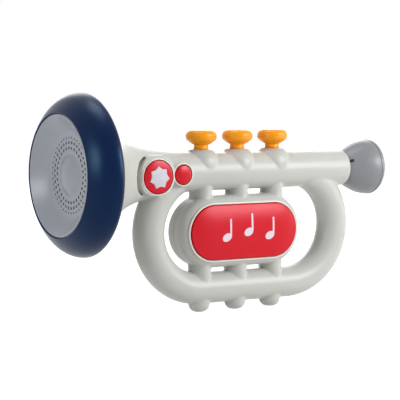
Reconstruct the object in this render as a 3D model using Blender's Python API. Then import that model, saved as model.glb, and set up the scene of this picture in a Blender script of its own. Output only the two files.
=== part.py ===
"""Battery toy trumpet in moulded plastic, built from the pieces that the real one comes apart into.

Metres, +Z up, bell towards -X, the photographed side towards -Y. The model is laid out about
one point, where the main tube's axis meets the middle valve's axis. Every object hangs from one
empty there, which lifts the trumpet until its feet stand at z = 0 and centres its length on x = 0.
"""

import math

import bmesh
import bpy
from mathutils import Matrix, Vector

# Fits and walls
WALL = 0.0020
GAP = 0.0003
SLIDING_GAP = 0.00035
OVERRUN = 0.0020
MERGE_DISTANCE = 0.000002
ROUND_SIDES = 20
SMALL_SIDES = 10
POST_SIDES = 12
BOSS_SIDES = 16
LOOP_STEPS = 10
ARC_STEPS = 8
PLANAR_DEGREES = 0.3
SHARP_ANGLE_DEGREES = 40

# Main tube and bell flare
TUBE_RADIUS = 0.0130
TUBE_END_X = 0.0947
FLARE_START_X = -0.030
FLARE_MOUTH_X = -0.1203
FLARE_MOUTH_RADIUS = 0.0447
FLARE_LENGTH = 0.0230
FLARE_STATIONS = 8
FLARE_STATION_EXPONENT = 1.6
NECK_DEPTH = 0.0030
FLANGE_RISE = 0.0023
FLANGE_THICKNESS = 0.0015
MOUTH_LIP_WIDTH = 0.0080

# Bell rim, an ellipse whose front half is fuller than its back half
RIM_WALL = 0.0025
RIM_CENTRE_RADIUS = 0.0151
RIM_OVERHANG = 0.0113
RIM_FRONT_AXIS = 0.0247
RIM_BACK_AXIS = 0.0100
RIM_WIDEST_X = -0.1272
RIM_OPENING_INSET = 0.0033
RIM_FRONT_STEPS = 6
RIM_BACK_STEPS = 3
RIM_SIDES = 32

# Speaker grille
GRILLE_THICKNESS = 0.0018
GRILLE_SUNK = 0.0022
GRILLE_DISH_DEPTH = 0.0083
GRILLE_FLAT_RADIUS = 0.0285
GRILLE_DOME_RADIUS = 0.0146
GRILLE_DOME_RISE = 0.0034
GRILLE_DOME_TOP_SHARE = 0.55
GRILLE_SKIRT_WALL = 0.0015
HOLE_RING_RADII = (0.0185, 0.0222, 0.0255)
HOLE_RING_COUNTS = (30, 36, 42)
HOLE_RADIUS = 0.0006
HOLE_SIDES = 3

# Speaker
SPEAKER_RADIUS = 0.0250
SPEAKER_RIM_WIDTH = 0.0032
SPEAKER_RIM_THICKNESS = 0.0014
SPEAKER_FRAME_DEPTH = 0.0090
SPEAKER_FRAME_WALL = 0.0010
SPEAKER_NECK_RADIUS = 0.0140
CONE_THICKNESS = 0.0006
CONE_DEPTH = 0.0052
CONE_CAP_RADIUS = 0.0070
CONE_CAP_RISE = 0.0023
MAGNET_RADIUS = 0.0150
MAGNET_THICKNESS = 0.0065
SPEAKER_SCREW_COUNT = 3
SPEAKER_SCREW_CIRCLE = 0.0278
SPEAKER_SCREW_RADIUS = 0.0010
SPEAKER_SCREW_HEAD_RADIUS = 0.0034
SPEAKER_BOSS_RADIUS = 0.0024

# Valves
VALVE_PITCH = 0.0309
VALVE_TRAVEL = 0.0025
BOSS_STEP = 0.0006
BOSS_DOME_CENTRE_Z = 0.0049
BOSS_TOP_DROP = 0.0013
CAP_RADIUS = 0.0111
CAP_EDGE_RISE = 0.0087
CAP_TOP_RISE = 0.0130
CAP_UNDERSIDE_RISE = 0.0032
CAP_TOP_FLAT_RADIUS = 0.0066
STEM_RADIUS = 0.0051
STEM_FLANGE_SHARE = 0.645
STEM_FLANGE_THICKNESS = 0.0014
STEM_PIN_RADIUS = 0.0020
VALVE_BOARD_TOP_Z = -0.0032
VALVE_BOARD_OVERHANG = 0.0075
VALVE_SPRING_INSET = 0.0016
VALVE_SPRING_WIRE = 0.0005
VALVE_SPRING_TURNS = 5
CAP_UNDER_SHARES = ((0.70, 0.35), (0.93, 0.70), (1, 1))
CAP_OVER_SHARES = ((0.92, 0.60), (0.62, 0.22), (0, 0))

# Loop handle, a long round-ended ring of tube whose top run lies in the main tube
LOOP_LEFT_X = -0.0738
LOOP_RIGHT_X = 0.0872
LOOP_TUBE_STEP = 0.0017
LOOP_SIDES_RESOLUTION = 4

# Posts and feet
POST_RADIUS = 0.0077
FOOT_DROP = 0.0056
FOOT_EDGE_RADIUS = 0.0050
FOOT_ROUNDING_STEPS = 2

# Central housing
HOUSING_LEFT_X = -0.0531
HOUSING_RIGHT_X = 0.0503
HOUSING_TOP_GAP = 0.0038
HOUSING_HEIGHT = 0.0517
HOUSING_BOTTOM_GAP = 0.0037
HOUSING_HALF_DEPTH = 0.0128
HOUSING_EDGE_RADIUS = 0.0080
HOUSING_EDGE_STEPS = 3

# Large front button
PLATE_BORDER = 0.0062
PLATE_PROUD = 0.0009
PLATE_CROWN = 0.0008
PLATE_THICKNESS = 0.0020
PLATE_SKIRT_WALL = 0.0015
PLATE_FLANGE_WIDTH = 0.0014
PLATE_FLANGE_THICKNESS = 0.0011
PLATE_FLANGE_DEPTH = 0.0034
PLATE_TRAVEL = 0.0015
PLATE_SPRING_X = 0.0300
PLATE_POST_RADIUS = 0.0022
MUSIC_SWITCH_SHARE = 0.6

# Round buttons and the pads that carry them
STAR_BUTTON_X = -0.0765
STAR_BUTTON_Z = -0.0015
STAR_BUTTON_RADIUS = 0.0113
STAR_PAD_HALF_WIDTH = 0.0168
STAR_PAD_HALF_HEIGHT = 0.0145
STAR_PAD_Z = -0.0005
STAR_PAD_CORNER = 0.0080
STAR_PAD_FRONT_Y = -0.0172
STAR_POINTS = 7
STAR_TIP_RADIUS = 0.0083
STAR_NOTCH_RADIUS = 0.0064
STAR_TURN_DEGREES = 7
STAR_DEPTH = 0.0009
STAR_WING_LENGTH = 0.0126
STAR_WING_HALF_HEIGHT = 0.0050
STAR_WING_Y = -0.0149
STAR_SEAT_RADIUS = 0.0094
SMALL_BUTTON_X = -0.0556
SMALL_BUTTON_Z = -0.0005
SMALL_BUTTON_RADIUS = 0.0067
SMALL_PAD_RADIUS = 0.0086
SMALL_PAD_FRONT_Y = -0.0160
SMALL_WING_LENGTH = 0.0082
SMALL_WING_HALF_HEIGHT = 0.0020
SMALL_WING_Y = -0.0103
SMALL_SEAT_RADIUS = 0.0056
COLLAR_WIDTH = 0.0010
COLLAR_PROUD = 0.0007
BUTTON_CROWN = 0.0009
BUTTON_FACE_SHARES = (0, 0.35, 0.62, 0.82)
BUTTON_DISC_THICKNESS = 0.0021
BUTTON_WING_THICKNESS = 0.0011
BUTTON_EDGE_PROUD = -0.0001
BUTTON_POST_RADIUS = 0.0020
BUTTON_TRAVEL = 0.0012
BUTTON_BOARD_FRONT_Y = -0.0030
BUTTON_BOARD_OVERHANG = 0.0060
BUTTON_STANDOFF_X = -0.0625
BUTTON_STANDOFF_ZS = (0.0085, -0.0095)
STANDOFF_RADIUS = 0.0015

# Switches, circuit boards and springs
BOARD_THICKNESS = 0.0016
SWITCH_SIZE = 0.0060
SWITCH_HEIGHT = 0.0032
SWITCH_KNOB_RADIUS = 0.0017
SWITCH_KNOB_HEIGHT = 0.0008
BUTTON_SPRING_WIRE = 0.0004
BUTTON_SPRING_RADIUS = 0.0048
BUTTON_SPRING_TURNS = 3
PLATE_SPRING_RADIUS = 0.0034
SPRING_STEPS_PER_TURN = 8

# Main board and batteries
MAIN_BOARD_HALF_HEIGHT = 0.0190
MAIN_BOARD_END_INSET = 0.0120
CELL_RADIUS = 0.00525
CELL_LENGTH = 0.0445
CELL_PITCH = 0.0109
CELL_COUNT = 3
CELL_TIP_RADIUS = 0.0019
CELL_TIP_LENGTH = 0.0010
TRAY_WALL = 0.0012
TRAY_FLANGE_WIDTH = 0.0009
TRAY_FLANGE_THICKNESS = 0.0012
CONTACT_THICKNESS = 0.0004
CONTACT_SPRING_LENGTH = 0.0030
CONTACT_SPRING_WIRE = 0.00035
CONTACT_SPRING_RADIUS = 0.0026
CONTACT_SPRING_TURNS = 3
DOOR_LEDGE = 0.0011
DOOR_CORNER = 0.0030
DOOR_TAB_LENGTH = 0.0110
DOOR_TAB_HALF_HEIGHT = 0.0060
DOOR_SCREW_LENGTH = 0.0080
DOOR_SCREW_HEAD_HEIGHT = 0.0010
BOARD_STANDOFF_OFFSETS = (-0.0325, 0.0355)
BOARD_STANDOFF_HALF_HEIGHT = 0.0130

# Power switch, on the back of the housing
POWER_X = -0.0375
POWER_TRAVEL = 0.0020
POWER_KNOB_LENGTH = 0.0040
POWER_KNOB_HEIGHT = 0.0050
POWER_KNOB_PROUD = 0.0012
POWER_PLATE_HALF_LENGTH = 0.0055
POWER_PLATE_HALF_HEIGHT = 0.0034
POWER_PLATE_THICKNESS = 0.0012
POWER_BODY_LENGTH = 0.0120
POWER_BODY_DEPTH = 0.0054
POWER_BODY_HEIGHT = 0.0100

# Mouthpiece and its whistle insert
CUP_RADIUS = 0.0207
CUP_LIP_X = 0.1198
CUP_LIP_ROUNDING = 0.0028
CUP_ROOT_RISE = 0.0002
CUP_STATIONS = 6
CUP_BOWL_DEPTH = 0.0150
THROAT_RADIUS = 0.0040
SPIGOT_LENGTH = 0.0120
SLOT_LENGTH = 0.0036
SLOT_HEIGHT = 0.0015
SLOT_TURN_DEGREES = 38
WHISTLE_LENGTH = 0.0085
WHISTLE_RADIUS = 0.0062
WHISTLE_BORE_RADIUS = 0.0018

# Body screws
SCREW_RADIUS = 0.0012
SCREW_HEAD_RADIUS = 0.0024
SCREW_HEAD_HEIGHT = 0.0015
SCREW_GAP = 0.0001
SCREW_BOSS_RADIUS = 0.0036
SCREW_LENGTH = 0.0090
SCREW_HEAD_Y = 0.0046
TUBE_SCREW_X = 0.0720
FLARE_SCREW_X = -0.1010
FLARE_SCREW_Z = 0.0150

# Speaker lead
WIRE_RADIUS = 0.0006
WIRE_SPACING = 0.0018

# Places that follow from the sizes above
LOOP_TUBE_RADIUS = TUBE_RADIUS - LOOP_TUBE_STEP
LOOP_DROP = TUBE_RADIUS + HOUSING_TOP_GAP + HOUSING_HEIGHT + HOUSING_BOTTOM_GAP + LOOP_TUBE_RADIUS
BOSS_RADIUS = TUBE_RADIUS - BOSS_STEP
BOSS_TOP_Z = BOSS_DOME_CENTRE_Z + BOSS_RADIUS - BOSS_TOP_DROP
CAP_EDGE_Z = BOSS_TOP_Z + CAP_EDGE_RISE
CAP_TOP_Z = BOSS_TOP_Z + CAP_TOP_RISE
CAP_UNDERSIDE_Z = BOSS_TOP_Z + CAP_UNDERSIDE_RISE
STEM_FLANGE_RADIUS = BOSS_RADIUS * STEM_FLANGE_SHARE
VALVE_SPRING_RADIUS = STEM_FLANGE_RADIUS - VALVE_SPRING_INSET
CUP_ROOT_RADIUS = TUBE_RADIUS + CUP_ROOT_RISE
LOOP_ARC_RADIUS = LOOP_DROP / 2
LOOP_LEFT_CENTRE_X = LOOP_LEFT_X + LOOP_ARC_RADIUS
LOOP_RIGHT_CENTRE_X = LOOP_RIGHT_X - LOOP_ARC_RADIUS
FOOT_Z = -(LOOP_DROP + LOOP_TUBE_RADIUS + FOOT_DROP)
HOUSING_CENTRE_X = (HOUSING_LEFT_X + HOUSING_RIGHT_X) / 2
HOUSING_CENTRE_Z = -(TUBE_RADIUS + HOUSING_TOP_GAP + HOUSING_HEIGHT / 2)
HOUSING_HALF_HEIGHT = HOUSING_HEIGHT / 2
HOUSING_HALF_STRAIGHT = (HOUSING_RIGHT_X - HOUSING_LEFT_X) / 2 - HOUSING_HALF_HEIGHT
PLATE_RADIUS = HOUSING_HALF_HEIGHT - PLATE_BORDER
PLATE_FRONT_Y = -(HOUSING_HALF_DEPTH + PLATE_PROUD)
HOUSING_INNER_Y = HOUSING_HALF_DEPTH - WALL
PLATE_FLANGE_Y = PLATE_FLANGE_DEPTH - HOUSING_HALF_DEPTH
CELL_CENTRE_Y = HOUSING_INNER_Y - GAP - CELL_RADIUS
TRAY_FLOOR_Y = CELL_CENTRE_Y - CELL_RADIUS - GAP - TRAY_WALL
MAIN_BOARD_FRONT_Y = TRAY_FLOOR_Y - GAP - BOARD_THICKNESS
BUTTON_BOARD_HALF_HEIGHT = TUBE_RADIUS - WALL
VALVE_XS = (-VALVE_PITCH, 0, VALVE_PITCH)
FLANGE_BACK_X = FLARE_MOUTH_X - NECK_DEPTH
FLANGE_FRONT_X = FLANGE_BACK_X - FLANGE_THICKNESS
RIM_RADIAL_AXIS = FLARE_MOUTH_RADIUS + RIM_OVERHANG - RIM_CENTRE_RADIUS
RIM_FRONT_OPENING = FLARE_MOUTH_RADIUS - RIM_OPENING_INSET
RIM_LIP_SHARE = (RIM_FRONT_OPENING - RIM_CENTRE_RADIUS) / RIM_RADIAL_AXIS
RIM_FRONT_X = RIM_WIDEST_X - RIM_FRONT_AXIS * math.sqrt(1 - RIM_LIP_SHARE**2)
GRILLE_EDGE_X = RIM_FRONT_X + GRILLE_SUNK
GRILLE_FLAT_X = GRILLE_EDGE_X + GRILLE_DISH_DEPTH
GRILLE_BACK_X = GRILLE_FLAT_X + GRILLE_THICKNESS
GRILLE_EDGE_RADIUS = RIM_FRONT_OPENING - GAP
SPEAKER_FRONT_X = GRILLE_BACK_X + GAP
SPEAKER_BACK_X = SPEAKER_FRONT_X + SPEAKER_RIM_THICKNESS + SPEAKER_FRAME_DEPTH
MAGNET_BACK_X = SPEAKER_BACK_X + GAP + MAGNET_THICKNESS
SWITCH_REACH = SWITCH_HEIGHT + SWITCH_KNOB_HEIGHT
CUP_END_X = CUP_LIP_X + CUP_LIP_ROUNDING
CUP_ROOT_X = TUBE_END_X + GAP
MODEL_CENTRE_X = (RIM_FRONT_X + CUP_END_X) / 2

ALONG_X = (Vector((1, 0, 0)), Vector((0, 0, 1)))
ALONG_Y = (Vector((0, 1, 0)), Vector((0, 0, 1)))
ALONG_Z = (Vector((0, 0, 1)), Vector((1, 0, 0)))


def clear_scene():
    """Removes every object that the file opened with."""
    for obj in list(bpy.data.objects):
        bpy.data.objects.remove(obj, do_unlink=True)


def plastic(name, colour, roughness, metallic=0.0):
    """A Principled material with the part's colour, roughness and metallic value."""
    material = bpy.data.materials.new(name)
    material.use_nodes = True
    shader = material.node_tree.nodes["Principled BSDF"]
    shader.inputs["Base Color"].default_value = (*colour, 1)
    shader.inputs["Roughness"].default_value = roughness
    shader.inputs["Metallic"].default_value = metallic
    material.diffuse_color = (*colour, 1)
    return material


def object_of(name, shape):
    """A Blender object made from a finished bmesh, with its doubles merged and its faces outwards."""
    bmesh.ops.remove_doubles(shape, verts=shape.verts, dist=MERGE_DISTANCE)
    bmesh.ops.recalc_face_normals(shape, faces=shape.faces)
    mesh = bpy.data.meshes.new(name)
    shape.to_mesh(mesh)
    shape.free()
    obj = bpy.data.objects.new(name, mesh)
    bpy.context.scene.collection.objects.link(obj)
    return obj


def turned(name, outline, axis=ALONG_X, at=(0, 0, 0), sides=ROUND_SIDES):
    """The closed outline of (distance along the axis, radius) points spun once round the axis."""
    along, across = axis
    across = Matrix.Rotation(math.pi / sides, 3, along) @ across
    shape = bmesh.new()
    verts = [shape.verts.new(along * distance + across * radius) for distance, radius in outline]
    pairs = list(zip(verts, verts[1:]))
    if outline[0][1] or outline[-1][1]:
        pairs.append((verts[-1], verts[0]))
    edges = [shape.edges.new(pair) for pair in pairs]
    bmesh.ops.spin(
        shape,
        geom=verts + edges,
        cent=(0, 0, 0),
        axis=along,
        angle=math.tau,
        steps=sides,
        use_merge=True,
    )
    bmesh.ops.translate(shape, verts=shape.verts, vec=at)
    return object_of(name, shape)


def rod(name, start, end, radius, axis=ALONG_Y, at=(0, 0, 0), sides=SMALL_SIDES):
    """A plain round rod along the axis."""
    outline = [(start, 0), (start, radius), (end, radius), (end, 0)]
    return turned(name, outline, axis, at, sides)


def prism(name, outline, near, far, edge=0, edge_steps=1, ends="both"):
    """The outline of (x, z) points extruded from y = near to y = far, its end edges rounded by edge."""
    shape = bmesh.new()
    verts = [shape.verts.new((x, near, z)) for x, z in outline]
    face = shape.faces.new(verts)
    made = bmesh.ops.extrude_face_region(shape, geom=[face])["geom"]
    moved = [item for item in made if isinstance(item, bmesh.types.BMVert)]
    bmesh.ops.translate(shape, verts=moved, vec=(0, far - near, 0))
    if edge:
        middle = (near + far) / 2
        planes = {"both": (near, far), "near": (near,), "far": (far,)}[ends]
        rounded = [
            line
            for line in shape.edges
            if (line.verts[0].co.y - middle) * (line.verts[1].co.y - middle) > 0
            and min(abs(line.verts[0].co.y - plane) for plane in planes) < MERGE_DISTANCE
        ]
        bmesh.ops.bevel(
            shape,
            geom=rounded,
            offset=edge,
            segments=edge_steps,
            profile=0.5,
            affect="EDGES",
            clamp_overlap=True,
            material=-1,
        )
    return object_of(name, shape)


def block(name, low, high):
    """A box between two corners."""
    outline = [(low[0], low[2]), (high[0], low[2]), (high[0], high[2]), (low[0], high[2])]
    return prism(name, outline, low[1], high[1])


def arc(centre, radius, start_degrees, end_degrees, steps):
    """Points along an arc, its two ends included."""
    angles = [
        math.radians(start_degrees + (end_degrees - start_degrees) * step / steps)
        for step in range(steps + 1)
    ]
    return [(centre[0] + radius * math.cos(a), centre[1] + radius * math.sin(a)) for a in angles]


def stadium(centre, half_straight, radius, steps=ARC_STEPS):
    """The (x, z) outline of a long shape with half-round ends."""
    left = (centre[0] - half_straight, centre[1])
    right = (centre[0] + half_straight, centre[1])
    return arc(right, radius, -90, 90, steps) + arc(left, radius, 90, 270, steps)


def rounded_box(centre, half_width, half_height, corner, steps=4):
    """The (x, z) outline of a rectangle with rounded corners."""
    points = []
    for turn, (side_x, side_z) in enumerate(((1, 1), (-1, 1), (-1, -1), (1, -1))):
        middle = (
            centre[0] + side_x * (half_width - corner),
            centre[1] + side_z * (half_height - corner),
        )
        points += arc(middle, corner, 90 * turn, 90 * turn + 90, steps)
    return points


def bent_tube(name, points, radius, resolution, closed=False):
    """A round tube along a line of points, as a mesh."""
    curve = bpy.data.curves.new(name, "CURVE")
    curve.dimensions = "3D"
    curve.bevel_depth = radius
    curve.bevel_resolution = resolution
    curve.use_fill_caps = not closed
    spline = curve.splines.new("POLY")
    spline.points.add(len(points) - 1)
    for place, point in zip(spline.points, points):
        place.co = (*point, 1)
    spline.use_cyclic_u = closed
    guide = bpy.data.objects.new(name, curve)
    bpy.context.scene.collection.objects.link(guide)
    graph = bpy.context.evaluated_depsgraph_get()
    shape = bmesh.new()
    shape.from_mesh(bpy.data.meshes.new_from_object(guide.evaluated_get(graph)))
    bpy.data.objects.remove(guide)
    return object_of(name, shape)


def coil(name, start, end, radius, wire, turns, axis=ALONG_Z, at=(0, 0, 0)):
    """A spring wound about the axis between two heights, inside its wire's ends."""
    along, across = axis
    side = along.cross(across)
    count = turns * SPRING_STEPS_PER_TURN
    points = []
    for step in range(count + 1):
        angle = math.tau * step / SPRING_STEPS_PER_TURN
        height = start + wire + (end - start - 2 * wire) * step / count
        turn = across * math.cos(angle) + side * math.sin(angle)
        points.append(Vector(at) + along * height + turn * radius)
    return bent_tube(name, points, wire, 0)


def boolean(target, tool, operation):
    """Joins, cuts or keeps the target by the tool, and deletes the tool."""
    change = target.modifiers.new("boolean", "BOOLEAN")
    change.operation = operation
    change.solver = "EXACT"
    change.object = tool
    graph = bpy.context.evaluated_depsgraph_get()
    shape = bmesh.new()
    shape.from_mesh(bpy.data.meshes.new_from_object(target.evaluated_get(graph)))
    target.modifiers.clear()
    bpy.data.objects.remove(tool)
    bmesh.ops.remove_doubles(shape, verts=shape.verts, dist=MERGE_DISTANCE)
    bmesh.ops.dissolve_degenerate(shape, edges=shape.edges, dist=MERGE_DISTANCE)
    shape.to_mesh(target.data)
    shape.free()
    return target


def join(target, tool):
    return boolean(target, tool, "UNION")


def cut(target, tool):
    return boolean(target, tool, "DIFFERENCE")


def keep(target, tool):
    return boolean(target, tool, "INTERSECT")


def simplify(obj):
    """Dissolves the edges inside flat faces and the points along straight edges."""
    shape = bmesh.new()
    shape.from_mesh(obj.data)
    limit = math.radians(PLANAR_DEGREES)
    bmesh.ops.dissolve_limit(
        shape, angle_limit=limit, use_dissolve_boundaries=False, verts=shape.verts, edges=shape.edges
    )
    shape.to_mesh(obj.data)
    shape.free()


def copy_of(obj, name):
    twin = bpy.data.objects.new(name, obj.data.copy())
    bpy.context.scene.collection.objects.link(twin)
    return twin


def flare_radius(x):
    """Outer radius of the main tube and the flare at x."""
    mouth_rise = FLARE_MOUTH_RADIUS - TUBE_RADIUS
    return TUBE_RADIUS + mouth_rise * math.exp((FLARE_MOUTH_X - x) / FLARE_LENGTH)


def flare_outline(inset):
    """The (x, radius) stations of the tube and flare, from the mouth to the tube's end."""
    reach = FLARE_START_X - FLARE_MOUTH_X
    stations = []
    for step in range(FLARE_STATIONS + 1):
        x = FLARE_MOUTH_X + reach * (step / FLARE_STATIONS) ** FLARE_STATION_EXPONENT
        stations.append((x, flare_radius(x) - inset))
    stations[-1] = (FLARE_START_X, TUBE_RADIUS - inset)
    return stations


def body_solid(inset):
    """The whole body's outer form, or with an inset the hollow inside it."""
    extra = OVERRUN if inset else 0
    if inset:
        lip_radius = FLARE_MOUTH_RADIUS + FLANGE_RISE - MOUTH_LIP_WIDTH
        mouth = [
            (FLANGE_FRONT_X - extra, 0),
            (FLANGE_FRONT_X - extra, lip_radius),
            (FLANGE_BACK_X, lip_radius),
            (FLANGE_BACK_X, FLARE_MOUTH_RADIUS - inset),
        ]
    else:
        mouth = [
            (FLANGE_FRONT_X, 0),
            (FLANGE_FRONT_X, FLARE_MOUTH_RADIUS + FLANGE_RISE),
            (FLANGE_BACK_X, FLARE_MOUTH_RADIUS + FLANGE_RISE),
            (FLANGE_BACK_X, FLARE_MOUTH_RADIUS),
        ]
    tail = [(TUBE_END_X + extra, TUBE_RADIUS - inset), (TUBE_END_X + extra, 0)]
    body = turned("body", mouth + flare_outline(inset) + tail)
    for x in VALVE_XS:
        join(body, valve_boss(x, inset))
        join(body, post(x, inset))
    join(body, loop_tube(inset))
    join(body, housing_solid(inset))
    join(body, button_pads(inset))
    return body


def valve_boss(x, inset):
    """A round boss that rises out of the tube and closes in a dome."""
    radius = BOSS_RADIUS - inset
    top_share = (BOSS_TOP_Z - BOSS_DOME_CENTRE_Z) / BOSS_RADIUS
    top_angle = math.degrees(math.asin(top_share))
    dome = arc((BOSS_DOME_CENTRE_Z, 0), radius, 90, 90 - top_angle, 3)
    outline = [(-OVERRUN, 0), (-OVERRUN, radius)] + dome + [(dome[-1][0], 0)]
    return turned("boss", outline, ALONG_Z, (x, 0, 0), BOSS_SIDES)


def post(x, inset):
    """A round post from the main tube down to its foot, flat under a rounded edge."""
    radius = POST_RADIUS - inset
    flat_radius = POST_RADIUS - FOOT_EDGE_RADIUS
    edge_centre = (FOOT_Z + FOOT_EDGE_RADIUS, flat_radius)
    foot = arc(edge_centre, FOOT_EDGE_RADIUS - inset, 180, 90, FOOT_ROUNDING_STEPS)
    outline = [(FOOT_Z + inset, 0)] + foot + [(OVERRUN, radius), (OVERRUN, 0)]
    return turned("post", outline, ALONG_Z, (x, 0, 0), POST_SIDES)


def loop_tube(inset):
    """The loop handle's ring of tube."""
    centre = ((LOOP_LEFT_CENTRE_X + LOOP_RIGHT_CENTRE_X) / 2, -LOOP_ARC_RADIUS)
    half_straight = (LOOP_RIGHT_CENTRE_X - LOOP_LEFT_CENTRE_X) / 2
    line = stadium(centre, half_straight, LOOP_ARC_RADIUS, LOOP_STEPS)
    points = [(x, 0, z) for x, z in line]
    return bent_tube("loop", points, LOOP_TUBE_RADIUS - inset, LOOP_SIDES_RESOLUTION, closed=True)


def housing_solid(inset):
    """The central housing, a deep stadium with rounded front and back edges."""
    outline = stadium(
        (HOUSING_CENTRE_X, HOUSING_CENTRE_Z), HOUSING_HALF_STRAIGHT, HOUSING_HALF_HEIGHT - inset
    )
    depth = HOUSING_HALF_DEPTH - inset
    return prism(
        "housing", outline, -depth, depth, HOUSING_EDGE_RADIUS - inset, HOUSING_EDGE_STEPS
    )


def button_pads(inset):
    """The square pad of the star button joined with the round pad of the small one."""
    square = rounded_box(
        (STAR_BUTTON_X, STAR_PAD_Z),
        STAR_PAD_HALF_WIDTH - inset,
        STAR_PAD_HALF_HEIGHT - inset,
        STAR_PAD_CORNER - inset,
    )
    pads = prism("pads", square, STAR_PAD_FRONT_Y + inset, -OVERRUN)
    small = rod(
        "small_pad",
        SMALL_PAD_FRONT_Y + inset,
        -2 * OVERRUN,
        SMALL_PAD_RADIUS - inset,
        at=(SMALL_BUTTON_X, 0, SMALL_BUTTON_Z),
        sides=BOSS_SIDES,
    )
    return join(pads, small)


def pad_recess():
    """What the flare loses in front of the square pad."""
    square = rounded_box(
        (STAR_BUTTON_X, STAR_PAD_Z), STAR_PAD_HALF_WIDTH, STAR_PAD_HALF_HEIGHT, STAR_PAD_CORNER
    )
    return prism("recess", square, -FLARE_MOUTH_RADIUS, STAR_PAD_FRONT_Y)


def recess_lining():
    """The wall behind the recess, so that the pad's edge stays closed where the flare is cut."""
    square = rounded_box(
        (STAR_BUTTON_X, STAR_PAD_Z),
        STAR_PAD_HALF_WIDTH + WALL,
        STAR_PAD_HALF_HEIGHT + WALL,
        STAR_PAD_CORNER + WALL,
    )
    return prism("lining", square, -FLARE_MOUTH_RADIUS, STAR_PAD_FRONT_Y + WALL)


def collar(x, z, radius, front_y, gap):
    """A low ring round a button's hole, whose inside is cut to size with the hole."""
    outline = [
        (front_y + WALL / 2, radius - COLLAR_WIDTH),
        (front_y - COLLAR_PROUD, radius - COLLAR_WIDTH),
        (front_y - COLLAR_PROUD, radius + gap + COLLAR_WIDTH),
        (front_y + WALL / 2, radius + gap + COLLAR_WIDTH),
    ]
    return turned("collar", outline, ALONG_Y, (x, 0, z))


def screw_places():
    """The (x, z) of each body screw."""
    return [
        (TUBE_SCREW_X, 0),
        (FLARE_SCREW_X, FLARE_SCREW_Z),
        (FLARE_SCREW_X, -FLARE_SCREW_Z),
        (-VALVE_PITCH, -LOOP_DROP),
        (VALVE_PITCH, -LOOP_DROP),
        (LOOP_LEFT_X, -LOOP_ARC_RADIUS),
        (LOOP_RIGHT_X, -LOOP_ARC_RADIUS),
    ]


def body_shells():
    """The two half shells, split along the middle, with their bosses and holes."""
    outer = body_solid(0)
    hollow = body_solid(WALL)
    cut(hollow, recess_lining())
    cut(outer, pad_recess())
    solid = copy_of(outer, "solid")
    cut(outer, hollow)

    front = outer
    front.name = "front_body_shell"
    rear = copy_of(front, "rear_body_shell")
    reach = FLARE_MOUTH_RADIUS + FLANGE_RISE + OVERRUN
    low = (FLANGE_FRONT_X - OVERRUN, FOOT_Z - OVERRUN)
    right_x = max(TUBE_END_X, LOOP_RIGHT_X + LOOP_TUBE_RADIUS)
    high = (right_x + OVERRUN, FLARE_MOUTH_RADIUS + FLANGE_RISE + OVERRUN)
    keep(front, block("half", (low[0], -reach, low[1]), (high[0], -GAP / 2, high[1])))
    keep(rear, block("half", (low[0], GAP / 2, low[1]), (high[0], reach, high[1])))

    dress_front_shell(front)
    dress_rear_shell(rear)
    simplify(front)
    simplify(rear)
    return front, rear, solid


def valve_hole(x):
    return rod(
        "hole",
        0,
        BOSS_TOP_Z + OVERRUN,
        STEM_RADIUS + SLIDING_GAP,
        ALONG_Z,
        (x, 0, 0),
        BOSS_SIDES,
    )


def wall_reach(x):
    """How deep a screw boss goes, at x, to run into the shell's wall."""
    if x == FLARE_SCREW_X:
        return flare_radius(x)
    if x == TUBE_SCREW_X:
        return TUBE_RADIUS - WALL / 2
    return LOOP_TUBE_RADIUS - WALL / 2


def screw_boss(x, z, near, far):
    """A screw boss from y = near to y = far, which in the flare ends inside the wall."""
    boss = rod("boss", near, far, SCREW_BOSS_RADIUS, at=(x, 0, z))
    if x == FLARE_SCREW_X:
        ends = [(FLARE_START_X, 0), (FLARE_MOUTH_X, 0)]
        keep(boss, turned("core", flare_outline(WALL / 2) + ends))
    return boss


def dress_front_shell(front):
    """Adds the button holes, their collars and the screw bosses."""
    for x in VALVE_XS:
        cut(front, valve_hole(x))
    buttons = (
        (STAR_BUTTON_X, STAR_BUTTON_Z, STAR_BUTTON_RADIUS, STAR_PAD_FRONT_Y),
        (SMALL_BUTTON_X, SMALL_BUTTON_Z, SMALL_BUTTON_RADIUS, SMALL_PAD_FRONT_Y),
    )
    for x, z, radius, front_y in buttons:
        hole_radius = radius + SLIDING_GAP
        join(front, collar(x, z, radius, front_y, SLIDING_GAP))
        cut(front, rod("hole", 2 * front_y, front_y + 2 * WALL, hole_radius, at=(x, 0, z), sides=ROUND_SIDES))
    opening = stadium(
        (HOUSING_CENTRE_X, HOUSING_CENTRE_Z), HOUSING_HALF_STRAIGHT, PLATE_RADIUS + SLIDING_GAP
    )
    cut(front, prism("opening", opening, 2 * PLATE_FRONT_Y, -HOUSING_HALF_DEPTH + 2 * WALL))
    for x, z in screw_places():
        boss = screw_boss(x, z, -wall_reach(x), -GAP / 2)
        pilot_end = SCREW_HEAD_Y - SCREW_LENGTH - GAP
        cut(boss, rod("pilot", pilot_end, OVERRUN, SCREW_RADIUS + SCREW_GAP, at=(x, 0, z)))
        join(front, boss)
    board_y = BUTTON_BOARD_FRONT_Y - GAP
    for z in BUTTON_STANDOFF_ZS:
        at = (BUTTON_STANDOFF_X, 0, z)
        join(front, rod("standoff", STAR_PAD_FRONT_Y + WALL / 2, board_y, STANDOFF_RADIUS, at=at))


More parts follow.
